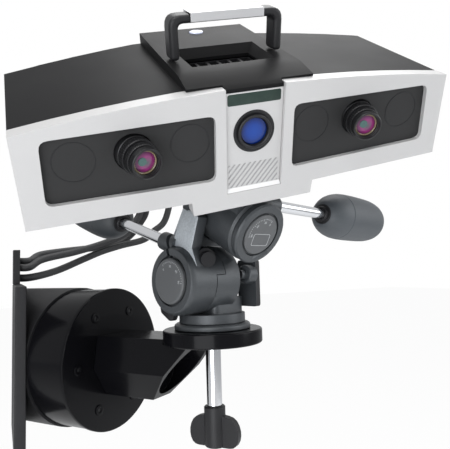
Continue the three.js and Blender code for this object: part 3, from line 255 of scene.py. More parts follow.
finishes = {
    # A near-white copy of the fascia paint for the upturned ledge under the hatching: a painted highlight
    "ledge": grainMaterial("ledgePaintedHighlight", {
        "dark": (0.80, 0.795, 0.79), "light": (0.88, 0.875, 0.87), "scale": 1600, "rough": (0.38, 0.48),
        "depth": 0.03,
    }),
    "silver": grainMaterial("silverPaint", {
        "dark": (0.505, 0.50, 0.50), "light": (0.57, 0.565, 0.56), "scale": 1600, "rough": (0.38, 0.48),
        "depth": 0.03, "metallic": 0.15, "coat": 0.15, "coatRough": 0.3,
    }),
    "cover": grainMaterial("coverShell", {
        "dark": (0.009, 0.009, 0.009), "light": (0.015, 0.015, 0.016), "scale": 1100,
        "rough": (0.40, 0.50), "depth": 0.1, "specular": 0.045,
    }),
    "window": grainMaterial("windowSheet", {
        "dark": (0.024, 0.024, 0.024), "light": (0.034, 0.034, 0.035), "scale": 2200,
        "rough": (0.55, 0.65), "depth": 0.03, "specular": 0.2,
    }),
    "blackPlastic": grainMaterial("blackMoulding", {
        "dark": (0.010, 0.010, 0.011), "light": (0.019, 0.019, 0.021), "scale": 1500,
        "rough": (0.38, 0.5), "depth": 0.12, "specular": 0.32,
    }),
    "blackMetal": grainMaterial("blackAnodised", {
        "dark": (0.010, 0.010, 0.011), "light": (0.020, 0.020, 0.022), "scale": 2400,
        "rough": (0.3, 0.4), "depth": 0.04, "metallic": 0.35,
    }),
    "glossBlack": streakMaterial("glossBlackPlate", {
        "colour": (0.004, 0.004, 0.005), "rough": (0.16, 0.28), "specular": 0.09, "coat": 0.08,
        "coatRough": 0.08,
    }),
    "casting": grainMaterial("texturedCasting", {
        "dark": (0.004, 0.004, 0.005), "light": (0.016, 0.016, 0.018), "scale": 700,
        "rough": (0.42, 0.6), "specular": 0.35, "depth": 0.5,
    }),
    "head": grainMaterial("headPaint", {
        "dark": (0.022, 0.025, 0.028), "light": (0.090, 0.098, 0.106), "scale": 1300,
        "rough": (0.32, 0.48), "patch": 42.0, "depth": 0.22, "metallic": 0.3, "specular": 0.6,
    }),
    # A lighter copy of the head paint for the outward faces of the tilt frame and its web: a painted
    # highlight where light falls on them
    "headPaintedHighlight": grainMaterial("headWebPaintedHighlight", {
        "dark": (0.22, 0.24, 0.26), "light": (0.78, 0.83, 0.87), "scale": 620, "rough": (0.4, 0.55),
        "depth": 0.35, "metallic": 0.4,
    }),
    "dial": grainMaterial("dialFace", {
        "dark": (0.084, 0.088, 0.092), "light": (0.106, 0.110, 0.114), "scale": 1800,
        "rough": (0.45, 0.55), "depth": 0.04,
    }),
    "grip": grainMaterial("gripRubber", {
        "dark": (0.052, 0.060, 0.068), "light": (0.090, 0.100, 0.110), "scale": 900,
        "rough": (0.42, 0.58), "depth": 0.1, "specular": 0.5,
    }),
    "chrome": streakMaterial("polishedChrome", {
        "colour": (0.80, 0.81, 0.83), "rough": (0.05, 0.14), "metallic": 1.0,
    }),
    "sleeve": streakMaterial("brushedSleeve", {
        "colour": (0.56, 0.56, 0.57), "rough": (0.28, 0.42), "metallic": 0.7, "stretch": (2, 60, 60),
    }),
    # A darker grey than the silver fascia for the hatching ribs: painted shade
    "hatch": grainMaterial("hatchPaintedShade", {
        "dark": (0.30, 0.30, 0.30), "light": (0.36, 0.36, 0.36), "scale": 1600, "rough": (0.5, 0.6),
        "depth": 0.03,
    }),
    # A darker copy of the grip rubber for the front grip: painted shade where it hangs under the fascia
    "gripShaded": grainMaterial("gripRubberPaintedShade", {
        "dark": (0.018, 0.021, 0.024), "light": (0.050, 0.056, 0.062), "scale": 900,
        "rough": (0.4, 0.55), "depth": 0.1, "patch": 60.0,
    }),
    "steel": streakMaterial("brushedSteel", {
        "colour": (0.50, 0.51, 0.52), "rough": (0.25, 0.4), "metallic": 1.0,
    }),
    "board": grainMaterial("boardLacquer", {
        "dark": (0.01, 0.09, 0.035), "light": (0.02, 0.13, 0.05), "scale": 600, "rough": (0.3, 0.4),
        "depth": 0.05,
    }),
    "jacket": grainMaterial("cableJacket", {
        "dark": (0.012, 0.012, 0.013), "light": (0.030, 0.031, 0.033), "scale": 1400,
        "rough": (0.5, 0.65), "depth": 0.3,
    }),
    "marks": mottledMaterial("dialMarks", {
        "dark": (0.32, 0.33, 0.34), "light": (0.62, 0.63, 0.64), "scale": 1500, "flatRough": 0.6,
    }),
    "display": mottledMaterial("smokedDisplay", {
        "dark": (0.018, 0.032, 0.027), "light": (0.036, 0.058, 0.048), "scale": 160, "flatRough": 0.2,
        "specular": 0.2,
    }),
    "warmRim": mottledMaterial("warmRim", {
        "dark": (0.168, 0.133, 0.077), "light": (0.24, 0.19, 0.11), "scale": 900, "flatRough": 0.12,
        "coat": 0.3,
    }),
    "greenCoat": mottledMaterial("greenCoat", {
        "dark": (0.035, 0.091, 0.084), "light": (0.05, 0.13, 0.12), "scale": 900, "flatRough": 0.12,
        "coat": 0.3,
    }),
    "button": mottledMaterial("buttonLens", {
        "dark": (0.50, 0.56, 0.78), "light": (0.80, 0.82, 0.92), "scale": 260, "flatRough": 0.15,
        "coat": 0.8,
    }),
}


# Coated glass: the tint runs from the middle of each lens by a ring to its rim
coating = {"ringAt": 0.55, "flatRough": 0.03, "coatRough": 0.02, "specular": 0.3}


def glassMaterial(name, tint, centre, look):
    material, tree, shader = startMaterial(name, {**coating, "coat": look["coat"]})
    coordinates = tree.nodes.new("ShaderNodeTexCoord")
    away = tree.nodes.new("ShaderNodeVectorMath")
    away.operation = "DISTANCE"
    away.inputs[1].default_value = centre * mm
    tree.links.new(coordinates.outputs["Object"], away.inputs[0])
    spread = tree.nodes.new("ShaderNodeMapRange")
    spread.inputs["From Max"].default_value = look["radius"] * mm
    tree.links.new(away.outputs["Value"], spread.inputs["Value"])
    ramp = rampBetween(tree, shader, spread.outputs["Result"], tint[0], tint[2])
    between = ramp.color_ramp.elements.new(coating["ringAt"])
    between.color = (*tint[1], 1)
    return material


print("stage: materials made,", len(finishes))


# Making pieces
making = {
    "smoothAngle": 35, "softAngle": 38, "bevelAngle": 30, "flatAngle": 0.4, "weld": 0.002,
    "turnedWeld": 0.0001,
}


def placed(name, data):
    thing = bpy.data.objects.new(name, data)
    bpy.context.scene.collection.objects.link(thing)
    return thing


def finishPiece(piece, body, finish, smoothAngle=making["smoothAngle"]):
    piece.data.materials.clear()
    piece.data.materials.append(finishes[finish])
    piece.data.shade_smooth()
    piece.data.set_sharp_from_angle(angle=math.radians(smoothAngle))
    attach(piece, body)
    return piece


def pieceFromMesh(name, mesh, matrix):
    mesh.transform(matrix)
    mesh.transform(Matrix.Scale(mm, 4))
    return placed(name, mesh)


def meshFrom(name, vertices, faces, weld=0.0):
    mesh = bpy.data.meshes.new(name)
    mesh.from_pydata(vertices, [], faces)
    form = bmesh.new()
    form.from_mesh(mesh)
    if weld:
        bmesh.ops.remove_doubles(form, verts=form.verts, dist=weld)
    bmesh.ops.recalc_face_normals(form, faces=form.faces)
    form.to_mesh(mesh)
    form.free()
    return mesh


def applyModifier(piece, modifier):
    with bpy.context.temp_override(object=piece, active_object=piece):
        bpy.ops.object.modifier_apply(modifier=modifier.name)


def roundEdges(piece, width, segments=2, sharpAngle=making["bevelAngle"]):
    bevel = piece.modifiers.new("edges", "BEVEL")
    bevel.width = width * mm
    bevel.segments = segments
    bevel.limit_method = "ANGLE"
    bevel.angle_limit = math.radians(sharpAngle)
    applyModifier(piece, bevel)


# The node's own shape with its edges rounded, as a moulding or a casting has them
def softened(node, body, finish, radius, segments=2):
    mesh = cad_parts[node].data.copy()
    mesh.name = node + "Skin"
    flat = math.radians(making["flatAngle"])
    form = bmesh.new()
    form.from_mesh(mesh)
    bmesh.ops.remove_doubles(form, verts=form.verts, dist=making["weld"] * mm)
    bmesh.ops.dissolve_limit(form, angle_limit=flat, verts=form.verts, edges=form.edges)
    form.to_mesh(mesh)
    form.free()
    piece = placed(node + "Skin", mesh)
    roundEdges(piece, radius, segments, making["softAngle"])
    finishPiece(piece, body, finish)
    even = piece.modifiers.new("evenFaces", "WEIGHTED_NORMAL")
    even.keep_sharp = True
    applyModifier(piece, even)
    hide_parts(node)
    return piece


# A second finish on the faces whose middle lies in a box, given in millimetres of one frame
def secondFinish(piece, finish, matrix, low, high):
    piece.data.materials.append(finishes[finish])
    slot = len(piece.data.materials) - 1
    back = matrix.inverted()
    for face in piece.data.polygons:
        spot = back @ (face.center / mm)
        if all(a <= v <= b for a, v, b in zip(low, spot, high)):
            face.material_index = slot


# Faces that join each loop of points to the next one, and the last loop to the first
def loopFaces(loops, count, closed=True):
    faces = []
    for s in range(loops):
        here, there = s * count, (s + 1) % loops * count
        for k in range(count if closed else count - 1):
            after = (k + 1) % count
            faces.append((here + k, here + after, there + after, there + k))
    return faces


def circle(radius, sides, middle=(0, 0)):
    turns = [2 * math.pi * s / sides for s in range(sides)]
    return [(middle[0] + radius * math.cos(t), middle[1] + radius * math.sin(t)) for t in turns]


# A rounded rectangle about the origin, with its half sizes and as many steps in each corner
def roundedOutline(wide, high, corner, steps):
    outline = []
    for x, z, start in ((1, 1, 0), (-1, 1, 90), (-1, -1, 180), (1, -1, 270)):
        for step in range(steps + 1):
            angle = math.radians(start + 90 * step / steps)
            across = x * (wide - corner) + corner * math.cos(angle)
            outline.append((across, z * (high - corner) + corner * math.sin(angle)))
    return outline


# A flat plate: its outline lies across the axis, and it runs from one level to another
def plateForm(outline, low, high, axis="y"):
    at = "xyz".index(axis)
    count = len(outline)
    vertices = [(*spot[:at], level, *spot[at:]) for level in (low, high) for spot in outline]
    faces = [tuple(range(count)), tuple(range(2 * count - 1, count - 1, -1))]
    for i in range(count):
        following = (i + 1) % count
        faces.append((i, count + i, count + following, following))
    return vertices, faces


def discForm(middle, radius, low, high, sides=24, axis="y"):
    return plateForm(circle(radius, sides, middle), low, high, axis)


def ringForm(middle, inner, outer, low, high, sides=72):
    vertices = []
    for a, b in circle(1, sides):
        for radius, level in ((inner, low), (outer, low), (outer, high), (inner, high)):
            vertices.append((middle[0] + radius * a, level, middle[1] + radius * b))
    return vertices, loopFaces(sides, 4)


# A slice of a ring about X, between two angles that run from +Y towards +Z
def arcForm(inner, outer, left, right, first, last, steps=48):
    turns = [math.radians(first + (last - first) * k / steps) for k in range(steps + 1)]
    outline = [(outer * math.cos(t), outer * math.sin(t)) for t in turns]
    outline += [(inner * math.cos(t), inner * math.sin(t)) for t in reversed(turns)]
    return plateForm(outline, left, right, "x")


# A turned piece: the profile is (radius, distance) pairs along local Y
def turned(name, body, finish, profile, matrix, sides=72):
    vertices = [(radius * a, along, radius * b) for a, b in circle(1, sides) for radius, along in profile]
    mesh = meshFrom(name, vertices, loopFaces(sides, len(profile), False), making["turnedWeld"])
    return finishPiece(pieceFromMesh(name, mesh, matrix), body, finish)


# The profile of a lens: a domed front that stands ahead of its rim, and a flat back
def domeProfile(look, rim, back):
    radius, rise, steps = look["radius"], look["rise"], look["steps"]
    shares = [step / steps for step in range(steps + 1)]
    dome = [(radius * share, rim - rise * (1 - share * share)) for share in shares]
    return dome + [(radius, back), (0, back)]


# Several small solids in one piece
def manyForms(name, body, finish, forms, matrix, edge=0.0):
    vertices = []
    faces = []
    for formVertices, formFaces in forms:
        start = len(vertices)
        vertices.extend(formVertices)
        faces.extend(tuple(start + i for i in face) for face in formFaces)
    piece = pieceFromMesh(name, meshFrom(name, vertices, faces), matrix)
    if edge:
        roundEdges(piece, edge)
    return finishPiece(piece, body, finish)


def cutAway(piece, form, matrix):
    tool = pieceFromMesh("cutter", meshFrom("cutter", *form), matrix)
    boolean = piece.modifiers.new("cut", "BOOLEAN")
    boolean.operation = "DIFFERENCE"
    boolean.solver = "EXACT"
    boolean.object = tool
    applyModifier(piece, boolean)
    bpy.data.objects.remove(tool)
    piece.data.set_sharp_from_angle(angle=math.radians(making["smoothAngle"]))


# Scanner housing: the finish of each shell, the radius of its edges and their steps
housing = {
    "front_fascia": ("silver", 0.9, 3),
    "centre_panel": ("silver", 0.35, 2),
    "window_panel_left": ("window", 0.35, 2),
    "window_panel_right": ("window", 0.35, 2),
    "top_cover": ("cover", 0.8, 2),
    "rear_cover": ("cover", 0.8, 2),
    "bottom_tray": ("cover", 0.8, 2),
    "raised_block": ("cover", 1.0, 3),
    "vent_grille": ("blackPlastic", 0.3, 2),
    "carry_handle": ("blackPlastic", 3.2, 4),
    "handle_sleeve": ("sleeve", 1.4, 3),
}


def dressHousing():
    for node, (finish, edge, steps) in housing.items():
        softened(node, "scanner", finish, edge, steps)
    print("stage: housing dressed")


# Front details: blank rings beside each lens, hatching under the projector whose ribs are painted a darker
# grey as painted shade, and the ledge below it, painted near white as a painted highlight on its upturned
# face
front = {
    "panelFace": 3.1, "sunk": 0.1,
    "ring": {"radius": 14.5, "wide": 0.5, "at": (48.8, 130.0), "face": 4.1, "proud": 0.25, "sunk": 0.2},
    "hatch": {
        "half": 20.4, "low": -41.6, "high": -22.5, "pitch": 4.3, "wide": 1.25, "lean": 16.0, "proud": 0.35,
    },
    "ledge": {"half": 22.4, "high": -42.2, "low": -44.7, "front": 0.5},
}


# The part of an outline on one side of an upright line
def clipped(outline, edge, sign):
    kept = []
    for i, (x, z) in enumerate(outline):
        nextX, nextZ = outline[(i + 1) % len(outline)]
        here, there = sign * (x - edge), sign * (nextX - edge)
        if here >= 0:
            kept.append((x, z))
        if here * there < 0:
            share = here / (here - there)
            kept.append((edge, z + (nextZ - z) * share))
    return kept


def dressFront():
    ring, hatch, ledge = front["ring"], front["hatch"], front["ledge"]
    radius, near, far = ring["radius"], ring["face"] - ring["proud"], ring["face"] + ring["sunk"]
    rings = []
    for side in (-1, 1):
        for across in ring["at"]:
            rings.append(ringForm((side * across, 0), radius - ring["wide"], radius, near, far))
    manyForms("windowRings", "scanner", "blackPlastic", rings, scannerFrame)
    face = front["panelFace"] + front["sunk"]
    half, low, high, wide, lean = (hatch[key] for key in ("half", "low", "high", "wide", "lean"))
    bars = []
    across = -half - lean
    while across < half:
        outline = [(across, low), (across + wide, low), (across + wide + lean, high), (across + lean, high)]
        outline = clipped(clipped(outline, -half, 1), half, -1)
        if len(outline) > 2:
            bars.append(plateForm(outline, front["panelFace"] - hatch["proud"], face))
        across += hatch["pitch"]
    # The hatching ribs carry painted shade in their darker grey
    manyForms("hatchRibs", "scanner", "hatch", bars, scannerFrame)
    # The ledge's upturned face is painted near white as a painted highlight
    wedge = [(face, ledge["high"]), (face, ledge["low"]), (ledge["front"], ledge["low"])]
    wedgeForm = plateForm(wedge, -ledge["half"], ledge["half"], "x")
    manyForms("panelLedge", "scanner", "ledge", [wedgeForm], scannerFrame)
    print("stage: front details made")


# Projector: ring in a shallow well, stepped inner cone, domed blue glass, two pin screws
projector = {
    "up": 2.2, "tip": 0.7, "back": 19.7, "inner": 10.4, "collar": 13.2, "edge": 0.5, "sides": 96,
    "coneSteps": ((0, 2.4), (0.5, 1.6), (0.5, 0.7), (1.0, 0.1), (1.3, 0)),  # out from the bore, back
    "well": {
        "radius": 16.4, "hole": 14.9, "face": 2.85, "under": 0.3, "slope": 0.6, "deep": 0.4, "lip": 0.15,
    },
    "glass": {"radius": 10.1, "rim": 2.6, "rise": 1.1, "back": 4.6, "steps": 8, "tintAt": 2.0, "coat": 0.2},
    "tint": ((0.004, 0.050, 0.30), (0.003, 0.040, 0.26), (0.002, 0.015, 0.11)),
    "pin": {"at": (9.4, 6.6), "radius": 0.5, "proud": 0.15, "sunk": 0.3, "sides": 12},
}


def dressProjector():
    at = scannerFrame @ move(0, 0, projector["up"])
    tip, back, sides = projector["tip"], projector["back"], projector["sides"]
    inner, collar, edge = projector["inner"], projector["collar"], projector["edge"]
    profile = [(inner, back), *[(inner + out, tip + deep) for out, deep in projector["coneSteps"]]]
    profile += [(collar - edge, tip), (collar, tip + edge), (collar, back), (inner, back)]
    ring = turned("projectorBezel", "scanner", "blackMetal", profile, at, sides)
    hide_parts("projector_ring")
    well = projector["well"]
    radius, hole, face, slope = well["radius"], well["hole"], well["face"], well["slope"]
    bed, under = face + well["deep"], collar - well["under"]
    profile = [
        (under, back), (under, face + slope), (collar + slope, bed), (radius - slope, face),
        (radius, face + well["lip"]), (radius, bed), (hole, bed), (hole, back), (under, back),
    ]
    turned("projectorWell", "scanner", "blackPlastic", profile, at, sides)
    look = projector["glass"]
    centre = at @ Vector((0, tip + look["tintAt"], 0))
    finishes["blueGlass"] = glassMaterial("blueCoatedGlass", projector["tint"], centre, look)
    dome = domeProfile(look, tip + look["rim"], tip + look["back"])
    glass = turned("projectorDome", "scanner", "blueGlass", dome, at)
    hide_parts("projector_glass")
    pin = projector["pin"]
    pins = []
    for side in (-1, 1):
        spot = (side * pin["at"][0], side * pin["at"][1])
        pins.append(discForm(spot, pin["radius"], tip - pin["proud"], tip + pin["sunk"], pin["sides"]))
    manyForms("projectorPins", "scanner", "blackPlastic", pins, at)
    print("stage: projector dressed")


# Display: a rounded sheet that covers its opening
display = {
    "half": (20.7, 4.15), "up": 27.45, "corner": 1.5, "cornerSteps": 6, "face": 2.95, "back": 4.6,
    "edge": 0.1,
}


def dressDisplay():
    outline = roundedOutline(*display["half"], display["corner"], display["cornerSteps"])
    sheet = plateForm([(x, display["up"] + z) for x, z in outline], display["face"], display["back"])
    screen = manyForms("displaySheet", "scanner", "display", [sheet], scannerFrame, display["edge"])
    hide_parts("display_window")
    print("stage: display made")


# One camera lens: knurled focus and iris rings, hood with a warm rim, coated glass
lens = {
    "back": 10, "flange": 13.1, "flangeAt": 1.4, "tube": 9.7, "hood": 10.9, "bowl": 8.7, "bowlDeep": 5.5,
    "tip": -17.9, "floor": 1.6, "edge": 0.5, "hoodEdge": 0.3, "sides": 96,
    "lipSteps": ((0, 0.5), (0.4, 0.05), (0.9, 0)),  # in from the hood's outside, back from the tip
    "bowlSteps": ((0.9, 0.2), (0.8, 1.2), (0.4, 1.4), (0.35, 2.6), (0, 2.8)),  # out from the bowl, back
    "bore": 10.0, "focusRadius": 13.2, "focusEnd": -6.6, "irisRadius": 12.0, "irisEnd": -12.4,
    "ringGap": 0.3, "teeth": 48, "tooth": 0.35, "toothAngle": 30, "rim": 8.4,
    "rimSteps": ((0, 1.6), (0.5, 1.75), (0.9, 1.4), (0.9, 0), (0, 0), (0, 1.6)),  # in from the rim, ahead
    "glass": {"radius": 8.3, "rim": 0.1, "rise": 1.4, "back": 1.3, "steps": 10, "coat": 0.5},
    "tint": ((0.05, 0.09, 0.09), (0.26, 0.03, 0.16), (0.05, 0.012, 0.05)),
    "tintShares": (0.15, -0.1), "tintAhead": 1.0,
    "core": {
        "radius": 3.0, "rim": 1.58, "rise": 0.35, "back": 0.9, "steps": 6, "sides": 40, "at": (-2, 0, 0.8),
    },
}


def knurled(name, body, radius, start, end, matrix, node):
    bore, edge, sides = lens["bore"], lens["edge"], 4 * lens["teeth"]
    levels = (
        (bore, start, 0), (radius - edge, start, 0), (radius, start + edge, 1), (radius, end - edge, 1),
        (radius - edge, end, 0), (bore, end, 0),
    )
    vertices = []
    for s in range(sides):
        angle = 2 * math.pi * s / sides
        sunk = lens["tooth"] if s % 4 < 2 else 0.0
        for size, along, toothed in levels:
            reach = size - sunk * toothed
            vertices.append((reach * math.cos(angle), along, reach * math.sin(angle)))
    ring = pieceFromMesh(name, meshFrom(name, vertices, loopFaces(sides, len(levels))), matrix)
    finishPiece(ring, body, "blackMetal", lens["toothAngle"])
    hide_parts(node)


def barrelProfile(floor):
    flange, flangeAt, tube, irisEnd = lens["flange"], lens["flangeAt"], lens["tube"], lens["irisEnd"]
    hood, hoodEdge, bowl, tip = lens["hood"], lens["hoodEdge"], lens["bowl"], lens["tip"]
    profile = [
        (0, lens["back"]), (flange, lens["back"]), (flange, flangeAt + lens["edge"]),
        (flange - lens["edge"], flangeAt), (tube, flangeAt), (tube, irisEnd), (hood - hoodEdge, irisEnd),
        (hood, irisEnd - hoodEdge),
    ]
    profile += [(hood - inward, tip + deep) for inward, deep in lens["lipSteps"]]
    profile += [(bowl + outward, tip + deep) for outward, deep in lens["bowlSteps"]]
    return profile + [(bowl, floor), (0, floor)]


def dressLens(side):
    label = "Left" if side < 0 else "Right"
    lower = label.lower()
    at = lensFrame(side)
    bowlBack = lens["tip"] + lens["bowlDeep"]
    barrel = barrelProfile(bowlBack + lens["floor"])
    tube = turned("lensBarrel" + label, "scanner", "blackMetal", barrel, at, lens["sides"])
    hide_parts("lens_barrel_" + lower)
    gap = lens["ringGap"]
    for ring, start, end in (
        ("focus", lens["focusEnd"] + gap, lens["flangeAt"] - gap),
        ("iris", lens["irisEnd"] + gap, lens["focusEnd"]),
    ):
        node = f"{ring}_ring_{lower}"
        knurled(f"{ring}Ring{label}", f"{ring}_{lower}", lens[ring + "Radius"], start, end, at, node)
    warm = [(lens["rim"] - inward, bowlBack - ahead) for inward, ahead in lens["rimSteps"]]
    turned("lensRim" + label, "scanner", "warmRim", warm, at)
    look = lens["glass"]
    across, up = (share * look["radius"] for share in lens["tintShares"])
    centre = at @ Vector((across, bowlBack - lens["tintAhead"], up))
    finishes["coated" + label] = glassMaterial("coatedGlass" + label, lens["tint"], centre, look)
    dome = domeProfile(look, bowlBack - look["rim"], bowlBack + look["back"])
    glass = turned("lensGlass" + label, "scanner", "coated" + label, dome, at)
    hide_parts("lens_glass_" + lower)
    core = lens["core"]
    inner = domeProfile(core, bowlBack - core["rim"], bowlBack - core["back"])
    turned("lensCore" + label, "scanner", "greenCoat", inner, at @ move(*core["at"]), core["sides"])
    print("stage: lens dressed,", lower)


# Power button: a pale dome
button = {
    "at": 137, "radius": 6.4, "foot": 43.0, "top": 47.6, "edge": 0.3, "shoulder": 1.6, "inset": 0.1,
    "domeFoot": 1.5, "rise": 1.3, "steps": 6, "sides": 48,
}


def dressButton():
    radius, foot, top, edge = button["radius"], button["foot"], button["top"], button["edge"]
    at = scannerFrame @ move(0, button["at"], 0) @ turn(90, "X")
    dome = [(0, foot), (radius - edge, foot), (radius, foot + edge), (radius, top - button["shoulder"])]
    for step in range(button["steps"] + 1):
        angle = math.radians(90 * step / button["steps"])
        along = top - button["domeFoot"] + button["rise"] * math.sin(angle)
        dome.append(((radius - button["inset"]) * math.cos(angle), along))
    cap = turned("buttonCap", "power_button", "button", dome, at, button["sides"])
    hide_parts("power_button")
    print("stage: power button dressed")


# Feet, screws and vents that the underside and the back have
hardware = {
    "trayFoot": -46.6, "backFace": 150.55, "sunk": 0.1,
    "foot": {
        "radius": 7.0, "proud": 1.6, "sides": 28, "edge": 0.4,
        "across": (-140, 140), "rows": (28, 112),
    },
    "trayScrew": {
        "radius": 2.6, "proud": 0.4, "sides": 18, "edge": 0.15,
        "across": (-120, -70, 70, 120), "rows": (20, 118),
    },
    "rearScrew": {
        "radius": 2.6, "proud": 0.45, "sides": 18, "edge": 0.15,
        "across": (-50, 50), "rows": (-38, 16),
    },
    "slot": {"count": 8, "foot": -34.0, "pitch": 2.6, "high": 1.1, "half": 46.0, "proud": 0.25},
}
insideFinishes = {
    "fan_housing": "blackPlastic", "fan_rotor": "blackPlastic", "main_board": "board",
    "optical_bench": "steel", "camera_body_left": "blackMetal", "camera_body_right": "blackMetal",
    "projector_engine": "blackMetal",
}


def discGrid(name, finish, look, low, high, axis):
    forms = []
    for a in look["across"]:
        for b in look["rows"]:
            forms.append(discForm((a, b), look["radius"], low, high, look["sides"], axis))
    manyForms(name, "scanner", finish, forms, scannerFrame, look["edge"])


def dressBackAndUnder():
    under, sunk, backFace = hardware["trayFoot"], hardware["sunk"], hardware["backFace"]
    for name, finish, key in (("trayFeet", "blackPlastic", "foot"), ("trayScrews", "steel", "trayScrew")):
        discGrid(name, finish, hardware[key], under - hardware[key]["proud"], under + sunk, "z")
    slot = hardware["slot"]
    slots = []
    for i in range(slot["count"]):
        low, half = slot["foot"] + slot["pitch"] * i, slot["half"]
        high = low + slot["high"]
        outline = [(-half, low), (half, low), (half, high), (-half, high)]
        slots.append(plateForm(outline, backFace, backFace + slot["proud"]))
    manyForms("rearSlots", "scanner", "blackPlastic", slots, scannerFrame)
    rear = hardware["rearScrew"]
    discGrid("rearScrews", "steel", rear, backFace - sunk, backFace + rear["proud"], "y")
    for node, finish in insideFinishes.items():
        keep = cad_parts[node]
        keep.data.materials.clear()
        keep.data.materials.append(finishes[finish])
    print("stage: back and underside dressed")


# Pan and tilt head; a box of two corners marks the faces with a second finish. The outward faces of the
# front tilt frame and its web take a lighter copy of the head paint, a painted highlight where light falls
# on them
head = {
    "castEdge": 1.4, "smallEdge": 0.8, "leverEdge": 1.2, "frameEdge": 0.9, "studEdge": 1.0, "plateEdge": 0.6,
    "dialEdge": 0.5,
    "dialRoom": {"radius": 20.8, "front": -46.7, "seat": -35.1, "sides": 96},
    "groove": {"outer": 36.0, "inner": 28.6, "wide": 1.1, "arcs": ((-21.1, 172, 300), (-10.3, 60, 171.5))},
    "paintedHighlightFrame": ((-25.4, -30, 28), (-24.6, 40, 90)),
    "paintedHighlightWeb": ((-43.1, -30, 20), (-42.2, 30, 70)),
    "leverHub": ((12, -60, -40), (28.4, 20, 40)),
    "web": {
        "span": (-43.0, -31.0), "edge": 1.0,
        "outline": (
            (16.6, 24.7), (20.5, 34.2), (19.2, 52.1), (14.6, 63.0), (8.0, 64.5), (-0.4, 63.0), (-5.1, 35.8),
            (-19.2, 24.4), (-8.0, 23.0), (6.0, 22.0),
        ),
    },
    "lug": {
        "span": (-43.2, -37.0), "edge": 1.5,
        "outline": ((-12.5, -27.0), (9.0, -27.0), (9.0, -33.5), (5.0, -37.0), (-8.5, -37.0), (-12.5, -34.0)),
    },
}


def dressHead():
    tiltAt = panFrame @ move(0, 0, place["tiltAxisUp"])
    dialAt = frontFrame @ move(0, 0, place["sideAxisUp"])
    softened("pan_base_ring", "stand", "head", head["smallEdge"])
    housingPart = softened("pan_housing", "pan_head", "head", head["castEdge"], 3)
    groove = head["groove"]
    for left, first, last in groove["arcs"]:
        seam = arcForm(groove["inner"], groove["outer"], left, left + groove["wide"], first, last)
        cutAway(housingPart, seam, tiltAt)
    frontPart = softened("front_tilt_frame", "tilt_frame", "head", head["frameEdge"], 3)
    room = head["dialRoom"]
    cutAway(frontPart, discForm((0, 0), room["radius"], room["front"], room["seat"], room["sides"]), dialAt)
    # The outward face of the front tilt frame gets the lighter head paint as a painted highlight
    secondFinish(frontPart, "headPaintedHighlight", frontFrame, *head["paintedHighlightFrame"])
    for key, name, finish in (("web", "tiltFrameWeb", "head"), ("lug", "tiltFrameLug", "blackPlastic")):
        look = head[key]
        form = plateForm(look["outline"], *look["span"], "x")
        plate = manyForms(name, "tilt_frame", finish, [form], frontFrame, look["edge"])
        if key == "web":
            # Only the web's outward face gets the lighter head paint, as a painted highlight
            secondFinish(plate, "headPaintedHighlight", frontFrame, *head["paintedHighlightWeb"])
    softened("side_tilt_housing", "scanner", "head", head["castEdge"], 3)
    softened("tilt_stud", "tilt_frame", "blackPlastic", head["studEdge"], 3)
    lever = softened("pan_lock_lever", "pan_lock", "blackPlastic", head["leverEdge"], 3)
    secondFinish(lever, "head", tiltAt, *head["leverHub"])
    softened("release_lever", "release_lever", "blackPlastic", head["leverEdge"], 3)
    softened("quick_release_plate", "scanner", "blackPlastic", head["plateEdge"])
    softened("front_tilt_dial", "pan_head", "dial", head["dialEdge"])
    look = scale["side"]
    face, rim, foot = look["face"], look["rim"], room["seat"] - look["sunk"]
    inward, deep = look["rimEdge"]
    skin = [(0, face), (rim - inward, face), (rim, face + deep), (rim, foot), (0, foot)]
    dial = turned("sideDialFace", "tilt_frame", "dial", skin, dialAt, room["sides"])
    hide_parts("side_tilt_dial")
    print("stage: head dressed")


# A protractor scale on a dial: ticks on an arc, and plain numbers; angles run clockwise from the top
scale = {
    "front": {
        "radius": 17.4, "face": -51.3, "shift": -1.4, "from": -32, "step": 7.2, "count": 19, "every": 6,
        "numbers": (("0", -38), ("30", 6), ("60", 51), ("90", 95)), "numberAt": 12.9,
    },
    "side": {
        "radius": 15.5, "face": -38.5, "rim": 18.6, "rimEdge": (1.0, 0.7), "sunk": 0.3,
        "from": -98, "step": 7.0, "count": 19, "every": 6,
        "numbers": (("90", -95), ("60", -47), ("30", -3), ("0", 31)), "numberAt": 11.6,
    },
    "tick": {"long": 1.9, "short": 1.1, "wide": 0.42, "proud": 0.1, "deep": 0.3},
    "number": {"size": 3.0, "proud": 0.06},
    "blankFrame": {"half": (10.2, 5.6), "at": (1.2, -4.6), "corner": 1.6, "cornerSteps": 4, "strip": 0.42},
}


def tickForm(radius, angle, length, wide, low, high, plane):
    middle = math.radians(angle)
    half = wide / radius / 2
    points = []
    for size, shift in ((radius - length, -half), (radius, -half), (radius, half), (radius - length, half)):
        points.append((size * math.cos(middle + shift), size * math.sin(middle + shift)))
    return plateForm(points, low, high, plane)


def scaleTicks(look, plane, sign):
    tick = scale["tick"]
    low, high = look["face"] - tick["proud"], look["face"] + tick["deep"]
    ticks = []
    for i in range(look["count"]):
        length = tick["long"] if i % look["every"] == 0 else tick["short"]
        angle = 90 + sign * (look["from"] + look["step"] * i)
        ticks.append(tickForm(look["radius"], angle, length, tick["wide"], low, high, plane))
    return ticks


